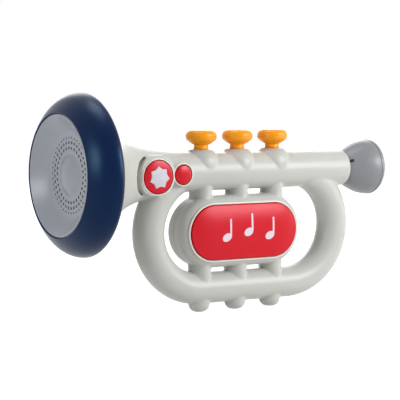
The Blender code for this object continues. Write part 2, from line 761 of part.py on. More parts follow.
def dress_rear_shell(rear):
    """Adds the battery door's opening, the power switch's slot and the counterbored screw bosses."""
    for x in VALVE_XS:
        cut(rear, valve_hole(x))
    for x, z in screw_places():
        seat_y = SCREW_HEAD_Y - SCREW_HEAD_HEIGHT
        reach = wall_reach(x)
        join(rear, screw_boss(x, z, GAP / 2, reach))
        cut(rear, rod("bore", -OVERRUN, reach, SCREW_RADIUS + SCREW_GAP, at=(x, 0, z)))
        head_hole = SCREW_HEAD_RADIUS + GAP
        cut(rear, rod("sink", seat_y, reach + 2 * WALL, head_hole, at=(x, 0, z)))
    cut(rear, prism("opening", door_outline(SLIDING_GAP), HOUSING_INNER_Y - WALL, 2 * HOUSING_HALF_DEPTH))
    add_door_seat(rear)
    board_y = MAIN_BOARD_FRONT_Y + BOARD_THICKNESS + GAP
    for offset in BOARD_STANDOFF_OFFSETS:
        for side in (-1, 1):
            at = (HOUSING_CENTRE_X + offset, 0, HOUSING_CENTRE_Z + side * BOARD_STANDOFF_HALF_HEIGHT)
            join(rear, rod("standoff", board_y, HOUSING_INNER_Y + WALL / 2, STANDOFF_RADIUS, at=at))
    half_slot = POWER_KNOB_LENGTH / 2 + POWER_TRAVEL + GAP
    half_height = POWER_KNOB_HEIGHT / 2 + GAP
    cut(
        rear,
        block(
            "slot",
            (POWER_X - half_slot, HOUSING_INNER_Y - WALL, HOUSING_CENTRE_Z - half_height),
            (POWER_X + half_slot, 2 * HOUSING_HALF_DEPTH, HOUSING_CENTRE_Z + half_height),
        ),
    )


def add_door_seat(rear):
    """The ledge and the screw boss under the battery door's tab."""
    length, _ = tray_half_size()
    low_x = HOUSING_CENTRE_X + length + TRAY_WALL + TRAY_FLANGE_WIDTH + GAP
    high_x = HOUSING_CENTRE_X + length + DOOR_LEDGE + DOOR_TAB_LENGTH + WALL
    half_height = DOOR_TAB_HALF_HEIGHT + WALL
    seat = block(
        "seat",
        (low_x, HOUSING_INNER_Y - WALL, HOUSING_CENTRE_Z - half_height),
        (high_x, HOUSING_INNER_Y + WALL / 2, HOUSING_CENTRE_Z + half_height),
    )
    join(rear, seat)
    at = (door_screw_x(), 0, HOUSING_CENTRE_Z)
    boss_y = HOUSING_HALF_DEPTH - DOOR_SCREW_LENGTH - WALL
    join(rear, rod("boss", boss_y, HOUSING_INNER_Y - WALL / 2, SCREW_BOSS_RADIUS, at=at))
    tab = prism("tab", tab_outline(SLIDING_GAP), HOUSING_INNER_Y - GAP, 2 * HOUSING_HALF_DEPTH)
    cut(rear, tab)
    cut(rear, rod("pilot", boss_y - OVERRUN, HOUSING_HALF_DEPTH, SCREW_RADIUS + SCREW_GAP, at=at))


def tray_half_size():
    """Half the inside length and half the inside height of the battery tray."""
    length = CELL_LENGTH / 2 + CONTACT_THICKNESS + CONTACT_SPRING_LENGTH / 2 + GAP * 3
    height = (CELL_COUNT - 1) * CELL_PITCH / 2 + CELL_RADIUS + GAP
    return length, height


def door_outline(extra):
    """The battery door's (x, z) outline: it lies on the tray's rim."""
    length, height = tray_half_size()
    return rounded_box(
        (HOUSING_CENTRE_X, HOUSING_CENTRE_Z),
        length + DOOR_LEDGE + extra,
        height + DOOR_LEDGE + extra,
        DOOR_CORNER + extra,
    )


def rim_curve(front_axis, back_axis, radial_axis, front_opening, back_opening):
    """The rim's section from its front opening over the outside to its back opening."""
    start = math.asin((front_opening - RIM_CENTRE_RADIUS) / radial_axis)
    finish = math.asin((back_opening - RIM_CENTRE_RADIUS) / radial_axis)
    points = []
    for step in range(RIM_FRONT_STEPS + 1):
        angle = start + (math.pi / 2 - start) * step / RIM_FRONT_STEPS
        x = RIM_WIDEST_X - front_axis * math.cos(angle)
        points.append((x, RIM_CENTRE_RADIUS + radial_axis * math.sin(angle)))
    for step in range(1, RIM_BACK_STEPS + 1):
        angle = math.pi / 2 - (math.pi / 2 - finish) * step / RIM_BACK_STEPS
        x = RIM_WIDEST_X + back_axis * math.cos(angle)
        points.append((x, RIM_CENTRE_RADIUS + radial_axis * math.sin(angle)))
    return points


def bell_rim():
    """The blue ring round the bell, a shell open towards the axis."""
    back_opening = FLARE_MOUTH_RADIUS + 2 * GAP
    outside = rim_curve(
        RIM_FRONT_AXIS, RIM_BACK_AXIS, RIM_RADIAL_AXIS, RIM_FRONT_OPENING, back_opening
    )
    inside = rim_curve(
        RIM_FRONT_AXIS - RIM_WALL,
        RIM_BACK_AXIS - RIM_WALL,
        RIM_RADIAL_AXIS - RIM_WALL,
        RIM_FRONT_OPENING,
        back_opening,
    )
    return turned("bell_rim", outside + inside[::-1], sides=RIM_SIDES)


def speaker_screw_places():
    """Where the speaker screws stand, as (y, z)."""
    turns = [math.tau * (count + 0.5) / SPEAKER_SCREW_COUNT for count in range(SPEAKER_SCREW_COUNT)]
    circle = SPEAKER_SCREW_CIRCLE
    return [(circle * math.sin(turn), circle * math.cos(turn)) for turn in turns]


def speaker_grille():
    """The dished grille with its domed middle, three rings of holes and a skirt back to the body."""
    dome_x = GRILLE_FLAT_X - GRILLE_DOME_RISE
    front = [
        (dome_x, 0),
        (dome_x, GRILLE_DOME_RADIUS * GRILLE_DOME_TOP_SHARE),
        (GRILLE_FLAT_X, GRILLE_DOME_RADIUS),
        (GRILLE_FLAT_X, GRILLE_FLAT_RADIUS),
        (GRILLE_EDGE_X, GRILLE_EDGE_RADIUS),
    ]
    skirt_x = FLANGE_FRONT_X - GAP
    skirt_radius = GRILLE_EDGE_RADIUS - GRILLE_SKIRT_WALL
    back = [
        (skirt_x, GRILLE_EDGE_RADIUS),
        (skirt_x, skirt_radius),
        (GRILLE_EDGE_X + GRILLE_THICKNESS, skirt_radius),
        (GRILLE_BACK_X, GRILLE_FLAT_RADIUS + GRILLE_THICKNESS / 2),
        (GRILLE_BACK_X, GRILLE_DOME_RADIUS),
        (dome_x + GRILLE_THICKNESS, GRILLE_DOME_RADIUS * GRILLE_DOME_TOP_SHARE),
        (dome_x + GRILLE_THICKNESS, 0),
    ]
    grille = turned("speaker_grille", front + back, sides=RIM_SIDES)
    for y, z in speaker_screw_places():
        boss_end = SPEAKER_FRONT_X + SPEAKER_RIM_THICKNESS
        boss = rod(
            "boss", GRILLE_BACK_X - GRILLE_THICKNESS / 2, boss_end, SPEAKER_BOSS_RADIUS, ALONG_X, (0, y, z)
        )
        join(grille, boss)
        pilot_radius = SPEAKER_SCREW_RADIUS + SCREW_GAP
        cut(grille, rod("pilot", GRILLE_BACK_X, boss_end + OVERRUN, pilot_radius, ALONG_X, (0, y, z)))
    cut(grille, grille_holes())
    simplify(grille)
    return grille


def grille_holes():
    """One cutter that holds the pins of all three rings of holes."""
    shape = bmesh.new()
    depth = GRILLE_THICKNESS + 2 * OVERRUN
    for ring_radius, count in zip(HOLE_RING_RADII, HOLE_RING_COUNTS):
        for step in range(count):
            turn = Matrix.Rotation(math.tau * (step + 0.5) / count, 4, "X")
            place = Matrix.Translation((GRILLE_FLAT_X + GRILLE_THICKNESS / 2, 0, ring_radius))
            upright = Matrix.Rotation(math.pi / 2, 4, "Y")
            bmesh.ops.create_cone(
                shape,
                cap_ends=True,
                segments=HOLE_SIDES,
                radius1=HOLE_RADIUS,
                radius2=HOLE_RADIUS,
                depth=depth,
                matrix=turn @ place @ upright,
            )
    return object_of("holes", shape)


def speaker():
    """The speaker's pressed frame, its paper cone and its magnet."""
    front_x = SPEAKER_FRONT_X
    rim_x = front_x + SPEAKER_RIM_THICKNESS
    wall = SPEAKER_FRAME_WALL
    shoulder = SPEAKER_RADIUS - SPEAKER_RIM_WIDTH + wall
    frame = turned(
        "speaker_frame",
        [
            (SPEAKER_BACK_X, 0),
            (SPEAKER_BACK_X, SPEAKER_NECK_RADIUS),
            (rim_x, shoulder),
            (rim_x, SPEAKER_RADIUS),
            (front_x, SPEAKER_RADIUS),
            (front_x, shoulder - wall),
            (SPEAKER_BACK_X - wall, SPEAKER_NECK_RADIUS - wall),
            (SPEAKER_BACK_X - wall, 0),
        ],
    )
    slope = (shoulder - SPEAKER_NECK_RADIUS) / (SPEAKER_BACK_X - front_x - wall)
    edge_radius = shoulder - wall - 2 * CONE_THICKNESS * slope - 2 * GAP
    cone_back_x = front_x + CONE_DEPTH
    cone = turned(
        "speaker_cone",
        [
            (cone_back_x - CONE_THICKNESS - CONE_CAP_RISE, 0),
            (cone_back_x - CONE_THICKNESS, CONE_CAP_RADIUS),
            (front_x + CONE_THICKNESS, edge_radius),
            (front_x + 2 * CONE_THICKNESS, edge_radius),
            (cone_back_x, CONE_CAP_RADIUS),
            (cone_back_x - CONE_CAP_RISE, 0),
        ],
    )
    magnet = rod(
        "speaker_magnet", SPEAKER_BACK_X + GAP, MAGNET_BACK_X, MAGNET_RADIUS, ALONG_X, sides=ROUND_SIDES
    )
    for count, (y, z) in enumerate(speaker_screw_places(), 1):
        head_x = SPEAKER_FRONT_X + SPEAKER_RIM_THICKNESS + GAP
        screw = turned(
            f"speaker_screw_{count}",
            [
                (GRILLE_BACK_X + GAP, 0),
                (GRILLE_BACK_X + GAP, SPEAKER_SCREW_RADIUS),
                (head_x, SPEAKER_SCREW_RADIUS),
                (head_x, SPEAKER_SCREW_HEAD_RADIUS),
                (head_x + SCREW_HEAD_HEIGHT, SPEAKER_SCREW_HEAD_RADIUS / 2),
                (head_x + SCREW_HEAD_HEIGHT, 0),
            ],
            ALONG_X,
            (0, y, z),
            SMALL_SIDES,
        )
        finish(screw, "steel")
    finish(frame, "steel")
    finish(cone, "paper")
    finish(magnet, "magnet")


def valve(count, x):
    """One valve: cap and stem, return spring, and the switch that the stem presses."""
    inner = BOSS_RADIUS - WALL - 2 * GAP
    flange_z = BOSS_DOME_CENTRE_Z + math.sqrt(inner**2 - STEM_FLANGE_RADIUS**2) - GAP
    switch_top = VALVE_BOARD_TOP_Z + GAP + SWITCH_REACH
    pin_z = switch_top + VALVE_TRAVEL + GAP
    under = [
        (
            CAP_UNDERSIDE_Z + (CAP_EDGE_Z - CAP_UNDERSIDE_Z) * height_share,
            STEM_RADIUS + (CAP_RADIUS - STEM_RADIUS) * radius_share,
        )
        for radius_share, height_share in CAP_UNDER_SHARES
    ]
    over = [
        (
            CAP_TOP_Z - (CAP_TOP_Z - CAP_EDGE_Z) * height_share,
            CAP_TOP_FLAT_RADIUS + (CAP_RADIUS - CAP_TOP_FLAT_RADIUS) * radius_share,
        )
        for radius_share, height_share in CAP_OVER_SHARES
    ]
    outline = [
        (pin_z, 0),
        (pin_z, STEM_PIN_RADIUS),
        (flange_z - STEM_FLANGE_THICKNESS, STEM_PIN_RADIUS),
        (flange_z - STEM_FLANGE_THICKNESS, STEM_FLANGE_RADIUS),
        (flange_z, STEM_FLANGE_RADIUS),
        (flange_z, STEM_RADIUS),
        (CAP_UNDERSIDE_Z, STEM_RADIUS),
        *under,
        *over,
        (CAP_TOP_Z, 0),
    ]
    cap = turned(f"valve_cap_{count}", outline, ALONG_Z, (x, 0, 0))
    spring = coil(
        f"valve_spring_{count}",
        VALVE_BOARD_TOP_Z + GAP,
        flange_z - STEM_FLANGE_THICKNESS - GAP,
        VALVE_SPRING_RADIUS,
        VALVE_SPRING_WIRE,
        VALVE_SPRING_TURNS,
        ALONG_Z,
        (x, 0, 0),
    )
    finish(cap, "orange", (x, 0, 0))
    finish(spring, "steel", (x, 0, 0))
    finish(switch(f"valve_switch_{count}", ALONG_Z, (x, 0, VALVE_BOARD_TOP_Z + GAP)), "black")


def switch(name, axis, base, height=SWITCH_HEIGHT):
    """A square push switch with a round knob, standing on its base point along the axis."""
    along, across = axis
    side = along.cross(across)
    half = SWITCH_SIZE / 2
    shape = bmesh.new()
    corners = [across * a * half + side * b * half for a, b in ((1, 1), (-1, 1), (-1, -1), (1, -1))]
    face = shape.faces.new([shape.verts.new(corner) for corner in corners])
    made = bmesh.ops.extrude_face_region(shape, geom=[face])["geom"]
    moved = [item for item in made if isinstance(item, bmesh.types.BMVert)]
    bmesh.ops.translate(shape, verts=moved, vec=along * height)
    bmesh.ops.translate(shape, verts=shape.verts, vec=base)
    body = object_of(name, shape)
    knob = rod("knob", height / 2, height + SWITCH_KNOB_HEIGHT, SWITCH_KNOB_RADIUS, axis, base)
    return join(body, knob)


def valve_board():
    """The board under the three valves, as wide as the tube's inside at its underside."""
    half_length = VALVE_PITCH + VALVE_BOARD_OVERHANG
    inside = (TUBE_RADIUS - WALL) * math.cos(math.pi / ROUND_SIDES)
    half_width = math.sqrt(inside**2 - (BOARD_THICKNESS - VALVE_BOARD_TOP_Z) ** 2) - GAP
    board = block(
        "valve_board",
        (-half_length, -half_width, VALVE_BOARD_TOP_Z - BOARD_THICKNESS),
        (half_length, half_width, VALVE_BOARD_TOP_Z),
    )
    finish(board, "board")


def button_outline(radius, edge_y, crown, seat_radius, wing_y):
    """A round button's section: crowned face, disc, spring seat and the pin that meets the switch."""
    disc_y = edge_y + BUTTON_DISC_THICKNESS
    wing_back_y = wing_y + BUTTON_WING_THICKNESS
    pin_y = BUTTON_BOARD_FRONT_Y - GAP - SWITCH_REACH - BUTTON_TRAVEL - GAP
    face = [
        (edge_y - crown * (1 - share**2), radius * share) for share in BUTTON_FACE_SHARES
    ]
    return face + [
        (edge_y, radius),
        (disc_y, radius),
        (disc_y, seat_radius),
        (wing_back_y, seat_radius),
        (wing_back_y, BUTTON_POST_RADIUS),
        (pin_y, BUTTON_POST_RADIUS),
        (pin_y, 0),
    ]


def star_outline(extra):
    """The (x, z) outline of the star inlay, grown by extra."""
    points = []
    for step in range(2 * STAR_POINTS):
        radius = (STAR_NOTCH_RADIUS if step % 2 else STAR_TIP_RADIUS) + extra
        angle = math.radians(90 + STAR_TURN_DEGREES) + math.pi * step / STAR_POINTS
        x = STAR_BUTTON_X + radius * math.cos(angle)
        points.append((x, STAR_BUTTON_Z + radius * math.sin(angle)))
    return points


def round_button(name, x, z, radius, front_y, seat_radius, wing, wing_y):
    """A round push button with two wings behind the shell that keep it in."""
    edge_y = front_y - BUTTON_EDGE_PROUD
    outline = button_outline(radius, edge_y, BUTTON_CROWN, seat_radius, wing_y)
    button = turned(name, outline, ALONG_Y, (x, 0, z))
    length, half_height = wing
    wings = block(
        "wings",
        (x - length, wing_y, z - half_height),
        (x + length, wing_y + BUTTON_WING_THICKNESS, z + half_height),
    )
    return join(button, wings)


def button_spring(name, x, z, wing_y):
    spring = coil(
        name,
        wing_y + BUTTON_WING_THICKNESS + GAP,
        BUTTON_BOARD_FRONT_Y - GAP,
        BUTTON_SPRING_RADIUS,
        BUTTON_SPRING_WIRE,
        BUTTON_SPRING_TURNS,
        ALONG_Y,
        (x, 0, z),
    )
    finish(spring, "steel", (x, 0, z))


def front_buttons():
    """The star button with its inlay, the small button, and their springs, switches and board."""
    star = (STAR_BUTTON_X, STAR_BUTTON_Z)
    small = (SMALL_BUTTON_X, SMALL_BUTTON_Z)
    star_wing = (STAR_WING_LENGTH, STAR_WING_HALF_HEIGHT)
    small_wing = (SMALL_WING_LENGTH, SMALL_WING_HALF_HEIGHT)
    cap = round_button(
        "star_button",
        *star,
        STAR_BUTTON_RADIUS,
        STAR_PAD_FRONT_Y,
        STAR_SEAT_RADIUS,
        star_wing,
        STAR_WING_Y,
    )
    face_y = STAR_PAD_FRONT_Y - BUTTON_EDGE_PROUD - BUTTON_CROWN
    floor_y = face_y + STAR_DEPTH + GAP
    inlay = prism("star_inlay", star_outline(0), face_y - OVERRUN, floor_y - GAP)
    keep(inlay, copy_of(cap, "crown"))
    cut(cap, prism("pocket", star_outline(GAP), face_y - OVERRUN, floor_y))
    small_cap = round_button(
        "small_button",
        *small,
        SMALL_BUTTON_RADIUS,
        SMALL_PAD_FRONT_Y,
        SMALL_SEAT_RADIUS,
        small_wing,
        SMALL_WING_Y,
    )
    finish(cap, "red", (star[0], 0, star[1]))
    finish(inlay, "white", (star[0], 0, star[1]))
    finish(small_cap, "red", (small[0], 0, small[1]))
    button_spring("star_button_spring", *star, STAR_WING_Y)
    button_spring("small_button_spring", *small, SMALL_WING_Y)
    toward_front = (-ALONG_Y[0], ALONG_Y[1])
    base_y = BUTTON_BOARD_FRONT_Y - GAP
    finish(switch("star_switch", toward_front, (star[0], base_y, star[1])), "black")
    finish(switch("small_switch", toward_front, (small[0], base_y, small[1])), "black")
    board = block(
        "button_board",
        (star[0] - STAR_SEAT_RADIUS, BUTTON_BOARD_FRONT_Y, -BUTTON_BOARD_HALF_HEIGHT),
        (
            small[0] + BUTTON_BOARD_OVERHANG,
            BUTTON_BOARD_FRONT_Y + BOARD_THICKNESS,
            BUTTON_BOARD_HALF_HEIGHT,
        ),
    )
    finish(board, "board")


def housing_outline(radius):
    """A stadium that follows the housing's outline at the given end radius."""
    return stadium((HOUSING_CENTRE_X, HOUSING_CENTRE_Z), HOUSING_HALF_STRAIGHT, radius)


def music_button():
    """The large front button, a shallow cup with a lip behind the shell, and its switch and springs."""
    back_y = PLATE_FLANGE_Y + PLATE_FLANGE_THICKNESS
    plate = prism(
        "music_button", housing_outline(PLATE_RADIUS), PLATE_FRONT_Y, back_y, PLATE_CROWN, 2, "near"
    )
    lip = housing_outline(PLATE_RADIUS + PLATE_FLANGE_WIDTH)
    join(plate, prism("lip", lip, PLATE_FLANGE_Y, back_y - MERGE_DISTANCE))
    pocket = housing_outline(PLATE_RADIUS - PLATE_SKIRT_WALL)
    pocket_y = PLATE_FRONT_Y + PLATE_THICKNESS
    cut(plate, prism("pocket", pocket, pocket_y, back_y + OVERRUN))
    base_y = MAIN_BOARD_FRONT_Y - GAP
    room = base_y - pocket_y - PLATE_TRAVEL - GAP - SWITCH_KNOB_HEIGHT
    switch_height = room * MUSIC_SWITCH_SHARE
    pin_y = pocket_y + room - switch_height
    centre = (HOUSING_CENTRE_X, 0, HOUSING_CENTRE_Z)
    join(plate, rod("pin", pocket_y - PLATE_THICKNESS / 2, pin_y, PLATE_POST_RADIUS, at=centre))
    finish(plate, "red", centre)
    toward_front = (-ALONG_Y[0], ALONG_Y[1])
    music_switch = switch("music_switch", toward_front, (centre[0], base_y, centre[2]), switch_height)
    finish(music_switch, "black")
    for name, offset in (("left", -PLATE_SPRING_X), ("right", PLATE_SPRING_X)):
        place = (centre[0] + offset, 0, centre[2])
        spring = coil(
            f"music_spring_{name}",
            pocket_y + GAP,
            MAIN_BOARD_FRONT_Y - GAP,
            PLATE_SPRING_RADIUS,
            BUTTON_SPRING_WIRE,
            BUTTON_SPRING_TURNS,
            ALONG_Y,
            place,
        )
        finish(spring, "steel", place)


def main_board():
    """The main circuit board behind the large button."""
    half_width = HOUSING_HALF_STRAIGHT + HOUSING_HALF_HEIGHT - MAIN_BOARD_END_INSET
    outline = rounded_box(
        (HOUSING_CENTRE_X, HOUSING_CENTRE_Z),
        half_width,
        MAIN_BOARD_HALF_HEIGHT,
        MAIN_BOARD_END_INSET,
    )
    board = prism(
        "main_board", outline, MAIN_BOARD_FRONT_Y, MAIN_BOARD_FRONT_Y + BOARD_THICKNESS
    )
    finish(board, "board")


def housing_block(name, half_length, half_height, near, far):
    """A box about the housing's centre."""
    x, z = HOUSING_CENTRE_X, HOUSING_CENTRE_Z
    return block(
        name, (x - half_length, near, z - half_height), (x + half_length, far, z + half_height)
    )


def battery_tray():
    """The battery tray, its rim under the door's edge."""
    length, height = tray_half_size()
    floor_y = TRAY_FLOOR_Y
    rim_y = HOUSING_INNER_Y - GAP
    outer_x = length + TRAY_WALL
    outer_z = height + TRAY_WALL
    tray = housing_block("battery_tray", outer_x, outer_z, floor_y, rim_y)
    edge_x = outer_x + TRAY_FLANGE_WIDTH
    edge_z = outer_z + TRAY_FLANGE_WIDTH
    join(tray, housing_block("rim", edge_x, edge_z, rim_y - TRAY_FLANGE_THICKNESS, rim_y - MERGE_DISTANCE))
    cut(tray, housing_block("inside", length, height, floor_y + TRAY_WALL, rim_y + OVERRUN))
    keep(tray, housing_solid(WALL + GAP))
    finish(tray, "black")


def batteries():
    """Three cells in series, turned in alternate directions, with their plates and springs."""
    length, _ = tray_half_size()
    centre_y = CELL_CENTRE_Y
    plate_x = length - GAP - CONTACT_THICKNESS
    tip_x = plate_x - GAP
    for count in range(1, CELL_COUNT + 1):
        way = 1 if count % 2 else -1
        z = HOUSING_CENTRE_Z + (count - (CELL_COUNT + 1) / 2) * CELL_PITCH
        axis = (Vector((way, 0, 0)), Vector((0, 0, 1)))
        outline = [
            (tip_x - CELL_LENGTH, 0),
            (tip_x - CELL_LENGTH, CELL_RADIUS),
            (tip_x - CELL_TIP_LENGTH, CELL_RADIUS),
            (tip_x - CELL_TIP_LENGTH, CELL_TIP_RADIUS),
            (tip_x, CELL_TIP_RADIUS),
            (tip_x, 0),
        ]
        cell = turned(f"battery_cell_{count}", outline, axis, (HOUSING_CENTRE_X, centre_y, z), BOSS_SIDES)
        spring = coil(
            f"contact_spring_{count}",
            GAP - plate_x,
            tip_x - CELL_LENGTH - GAP,
            CONTACT_SPRING_RADIUS,
            CONTACT_SPRING_WIRE,
            CONTACT_SPRING_TURNS,
            axis,
            (HOUSING_CENTRE_X, centre_y, z),
        )
        finish(cell, "cell")
        finish(spring, "steel")
    for name, side, first, last in (
        ("left_single", -1, 1, 1),
        ("left_double", -1, 2, 3),
        ("right_double", 1, 1, 2),
        ("right_single", 1, 3, 3),
    ):
        middle = (CELL_COUNT + 1) / 2
        low_z = HOUSING_CENTRE_Z + (first - middle) * CELL_PITCH - CELL_RADIUS
        high_z = HOUSING_CENTRE_Z + (last - middle) * CELL_PITCH + CELL_RADIUS
        near_x, far_x = sorted((side * plate_x, side * (plate_x + CONTACT_THICKNESS)))
        half_width = CELL_RADIUS - GAP
        plate = block(
            f"contact_{name}",
            (HOUSING_CENTRE_X + near_x, centre_y - half_width, low_z + GAP),
            (HOUSING_CENTRE_X + far_x, centre_y + half_width, high_z - GAP),
        )
        finish(plate, "steel")


def door_screw_x():
    length, _ = tray_half_size()
    return HOUSING_CENTRE_X + length + DOOR_LEDGE + DOOR_TAB_LENGTH / 2


def tab_outline(extra):
    """The door's screw tab, which laps into the door."""
    length, _ = tray_half_size()
    low = HOUSING_CENTRE_X + length
    high = low + DOOR_LEDGE + DOOR_TAB_LENGTH + extra
    half_height = DOOR_TAB_HALF_HEIGHT + extra
    centre = ((low + high) / 2, HOUSING_CENTRE_Z)
    return rounded_box(centre, (high - low) / 2, half_height, DOOR_CORNER)


def battery_door(solid):
    """The door and its tab, cut from the housing's own outer form, and the screw that holds it."""
    door = prism("battery_door", door_outline(0), HOUSING_INNER_Y, 2 * HOUSING_HALF_DEPTH)
    tab = prism("tab", tab_outline(0), HOUSING_INNER_Y, 2 * HOUSING_HALF_DEPTH - OVERRUN)
    join(door, tab)
    keep(door, solid)
    x = door_screw_x()
    at = (x, 0, HOUSING_CENTRE_Z)
    head_y = HOUSING_HALF_DEPTH - DOOR_SCREW_HEAD_HEIGHT
    cut(door, rod("hole", 0, 2 * HOUSING_HALF_DEPTH, SCREW_RADIUS + GAP, at=at))
    cut(door, rod("sink", head_y - GAP, 2 * HOUSING_HALF_DEPTH, SCREW_HEAD_RADIUS + GAP, at=at))
    finish(door, "grey")
    screw = screw_solid(
        "battery_door_screw", at, HOUSING_HALF_DEPTH, DOOR_SCREW_LENGTH, DOOR_SCREW_HEAD_HEIGHT
    )
    finish(screw, "steel")


def screw_solid(name, at, head_y, length, head_height=SCREW_HEAD_HEIGHT):
    """A pan-head screw driven towards -Y, its head's back at head_y."""
    outline = [
        (head_y - length, 0),
        (head_y - length, SCREW_RADIUS),
        (head_y - head_height, SCREW_RADIUS),
        (head_y - head_height, SCREW_HEAD_RADIUS),
        (head_y, SCREW_HEAD_RADIUS),
        (head_y, 0),
    ]
    return turned(name, outline, ALONG_Y, at, SMALL_SIDES)


def body_screws():
    """The screws that hold the two half shells together, driven from the back."""
    for count, (x, z) in enumerate(screw_places(), 1):
        at = (x, 0, z)
        screw = screw_solid(f"body_screw_{count}", at, SCREW_HEAD_Y + GAP, SCREW_LENGTH)
        finish(screw, "steel")


def power_switch():
    """The slide switch behind the rear wall, and the slider that reaches out through the slot."""
    z = HOUSING_CENTRE_Z
    plate_y = HOUSING_INNER_Y - GAP - POWER_PLATE_THICKNESS
    slider = block(
        "power_slider",
        (POWER_X - POWER_PLATE_HALF_LENGTH, plate_y, z - POWER_PLATE_HALF_HEIGHT),
        (POWER_X + POWER_PLATE_HALF_LENGTH, HOUSING_INNER_Y - GAP, z + POWER_PLATE_HALF_HEIGHT),
    )
    knob = block(
        "knob",
        (
            POWER_X - POWER_KNOB_LENGTH / 2,
            plate_y + POWER_PLATE_THICKNESS / 2,
            z - POWER_KNOB_HEIGHT / 2,
        ),
        (
            POWER_X + POWER_KNOB_LENGTH / 2,
            HOUSING_HALF_DEPTH + POWER_KNOB_PROUD,
            z + POWER_KNOB_HEIGHT / 2,
        ),
    )
    join(slider, knob)
    finish(slider, "black", (POWER_X, HOUSING_HALF_DEPTH, z))
    body = block(
        "power_switch_body",
        (POWER_X - POWER_BODY_LENGTH / 2, plate_y - GAP - POWER_BODY_DEPTH, z - POWER_BODY_HEIGHT / 2),
        (POWER_X + POWER_BODY_LENGTH / 2, plate_y - GAP, z + POWER_BODY_HEIGHT / 2),
    )
    finish(body, "black")


def mouthpiece():
    """The cup with its spigot in the tube's end, a bowl and a bore, and the whistle insert."""
    spigot_x = CUP_ROOT_X - SPIGOT_LENGTH
    spigot_radius = TUBE_RADIUS - WALL - GAP
    cup = []
    for step in range(CUP_STATIONS + 1):
        share = step / CUP_STATIONS
        rise = math.sin(share * math.pi / 2)
        cup.append(
            (
                CUP_ROOT_X + (CUP_LIP_X - CUP_ROOT_X) * share,
                CUP_ROOT_RADIUS + (CUP_RADIUS - CUP_ROOT_RADIUS) * rise,
            )
        )
    lip = arc((CUP_LIP_X, CUP_RADIUS - CUP_LIP_ROUNDING), CUP_LIP_ROUNDING, 90, -90, 6)[1:]
    bowl_radius = lip[-1][1]
    bowl = [
        (CUP_LIP_X - CUP_BOWL_DEPTH * math.sin(turn), THROAT_RADIUS + (bowl_radius - THROAT_RADIUS) * math.cos(turn))
        for turn in (math.radians(30), math.radians(60), math.radians(90))
    ]
    seat_x = spigot_x + WHISTLE_LENGTH + 2 * GAP
    outline = [
        (spigot_x, spigot_radius),
        (CUP_ROOT_X, spigot_radius),
        *cup,
        *lip,
        *bowl,
        (seat_x, THROAT_RADIUS),
        (seat_x, WHISTLE_RADIUS + GAP),
        (spigot_x, WHISTLE_RADIUS + GAP),
    ]
    piece = turned("mouthpiece", outline)
    turn = Matrix.Rotation(math.radians(SLOT_TURN_DEGREES), 4, "X")
    slot = block(
        "slot",
        (CUP_ROOT_X - GAP, -SLOT_HEIGHT / 2, THROAT_RADIUS / 2),
        (CUP_ROOT_X + SLOT_LENGTH, SLOT_HEIGHT / 2, CUP_RADIUS),
    )
    slot.data.transform(turn)
    finish(cut(piece, slot), "mouthpiece_grey")
    whistle = turned(
        "whistle_insert",
        [
            (spigot_x + GAP, WHISTLE_BORE_RADIUS),
            (spigot_x + GAP, WHISTLE_RADIUS),
            (spigot_x + GAP + WHISTLE_LENGTH, WHISTLE_RADIUS),
            (spigot_x + GAP + WHISTLE_LENGTH, WHISTLE_BORE_RADIUS),
        ],
        sides=16,
    )
    finish(whistle, "black")


def smooth_route(points, steps=3):
    """Points on a smooth curve through the route's own points."""
    padded = [points[0]] + points + [points[-1]]
    line = []
    for before, start, end, after in zip(padded, padded[1:], padded[2:], padded[3:]):
        for step in range(steps):
            share = step / steps
            tangent_in = (end - before) / 2
            tangent_out = (after - start) / 2
            line.append(
                start * (2 * share**3 - 3 * share**2 + 1)
                + tangent_in * (share**3 - 2 * share**2 + share)
                + end * (3 * share**2 - 2 * share**3)
                + tangent_out * (share**3 - share**2)
            )
    return line + [points[-1]]


def speaker_wires():
    """The speaker's two wires, through the tube and down the first post to the main board."""
    run_z = (VALVE_BOARD_TOP_Z - BOARD_THICKNESS - TUBE_RADIUS + WALL) / 2
    board_top = HOUSING_CENTRE_Z + MAIN_BOARD_HALF_HEIGHT + WIRE_RADIUS
    board_y = MAIN_BOARD_FRONT_Y + BOARD_THICKNESS / 2
    for name, side in (("red", -1), ("black", 1)):
        y = WIRE_SPACING + side * WIRE_SPACING / 2
        magnet_x = SPEAKER_BACK_X + MAGNET_THICKNESS / 2
        magnet_z = -(MAGNET_RADIUS + 3 * WIRE_RADIUS)
        down_x = -VALVE_PITCH + side * WIRE_SPACING / 2
        route = [
            Vector((magnet_x, y, magnet_z)),
            Vector((MAGNET_BACK_X, y, magnet_z)),
            Vector((FLARE_SCREW_X - SCREW_BOSS_RADIUS, y, run_z)),
            Vector((FLARE_SCREW_X + FLARE_LENGTH, y, run_z)),
            Vector((SMALL_BUTTON_X, y, run_z)),
            Vector((-VALVE_PITCH - BOSS_RADIUS / 2, y, run_z)),
            Vector((down_x, y / 2, -TUBE_RADIUS)),
            Vector((down_x, board_y, -TUBE_RADIUS - HOUSING_TOP_GAP)),
            Vector((down_x, board_y, board_top + GAP)),
        ]
        wire = bent_tube(f"speaker_wire_{name}", smooth_route(route), WIRE_RADIUS, 0)
        finish(wire, "red" if side < 0 else "black")


MATERIALS = {}


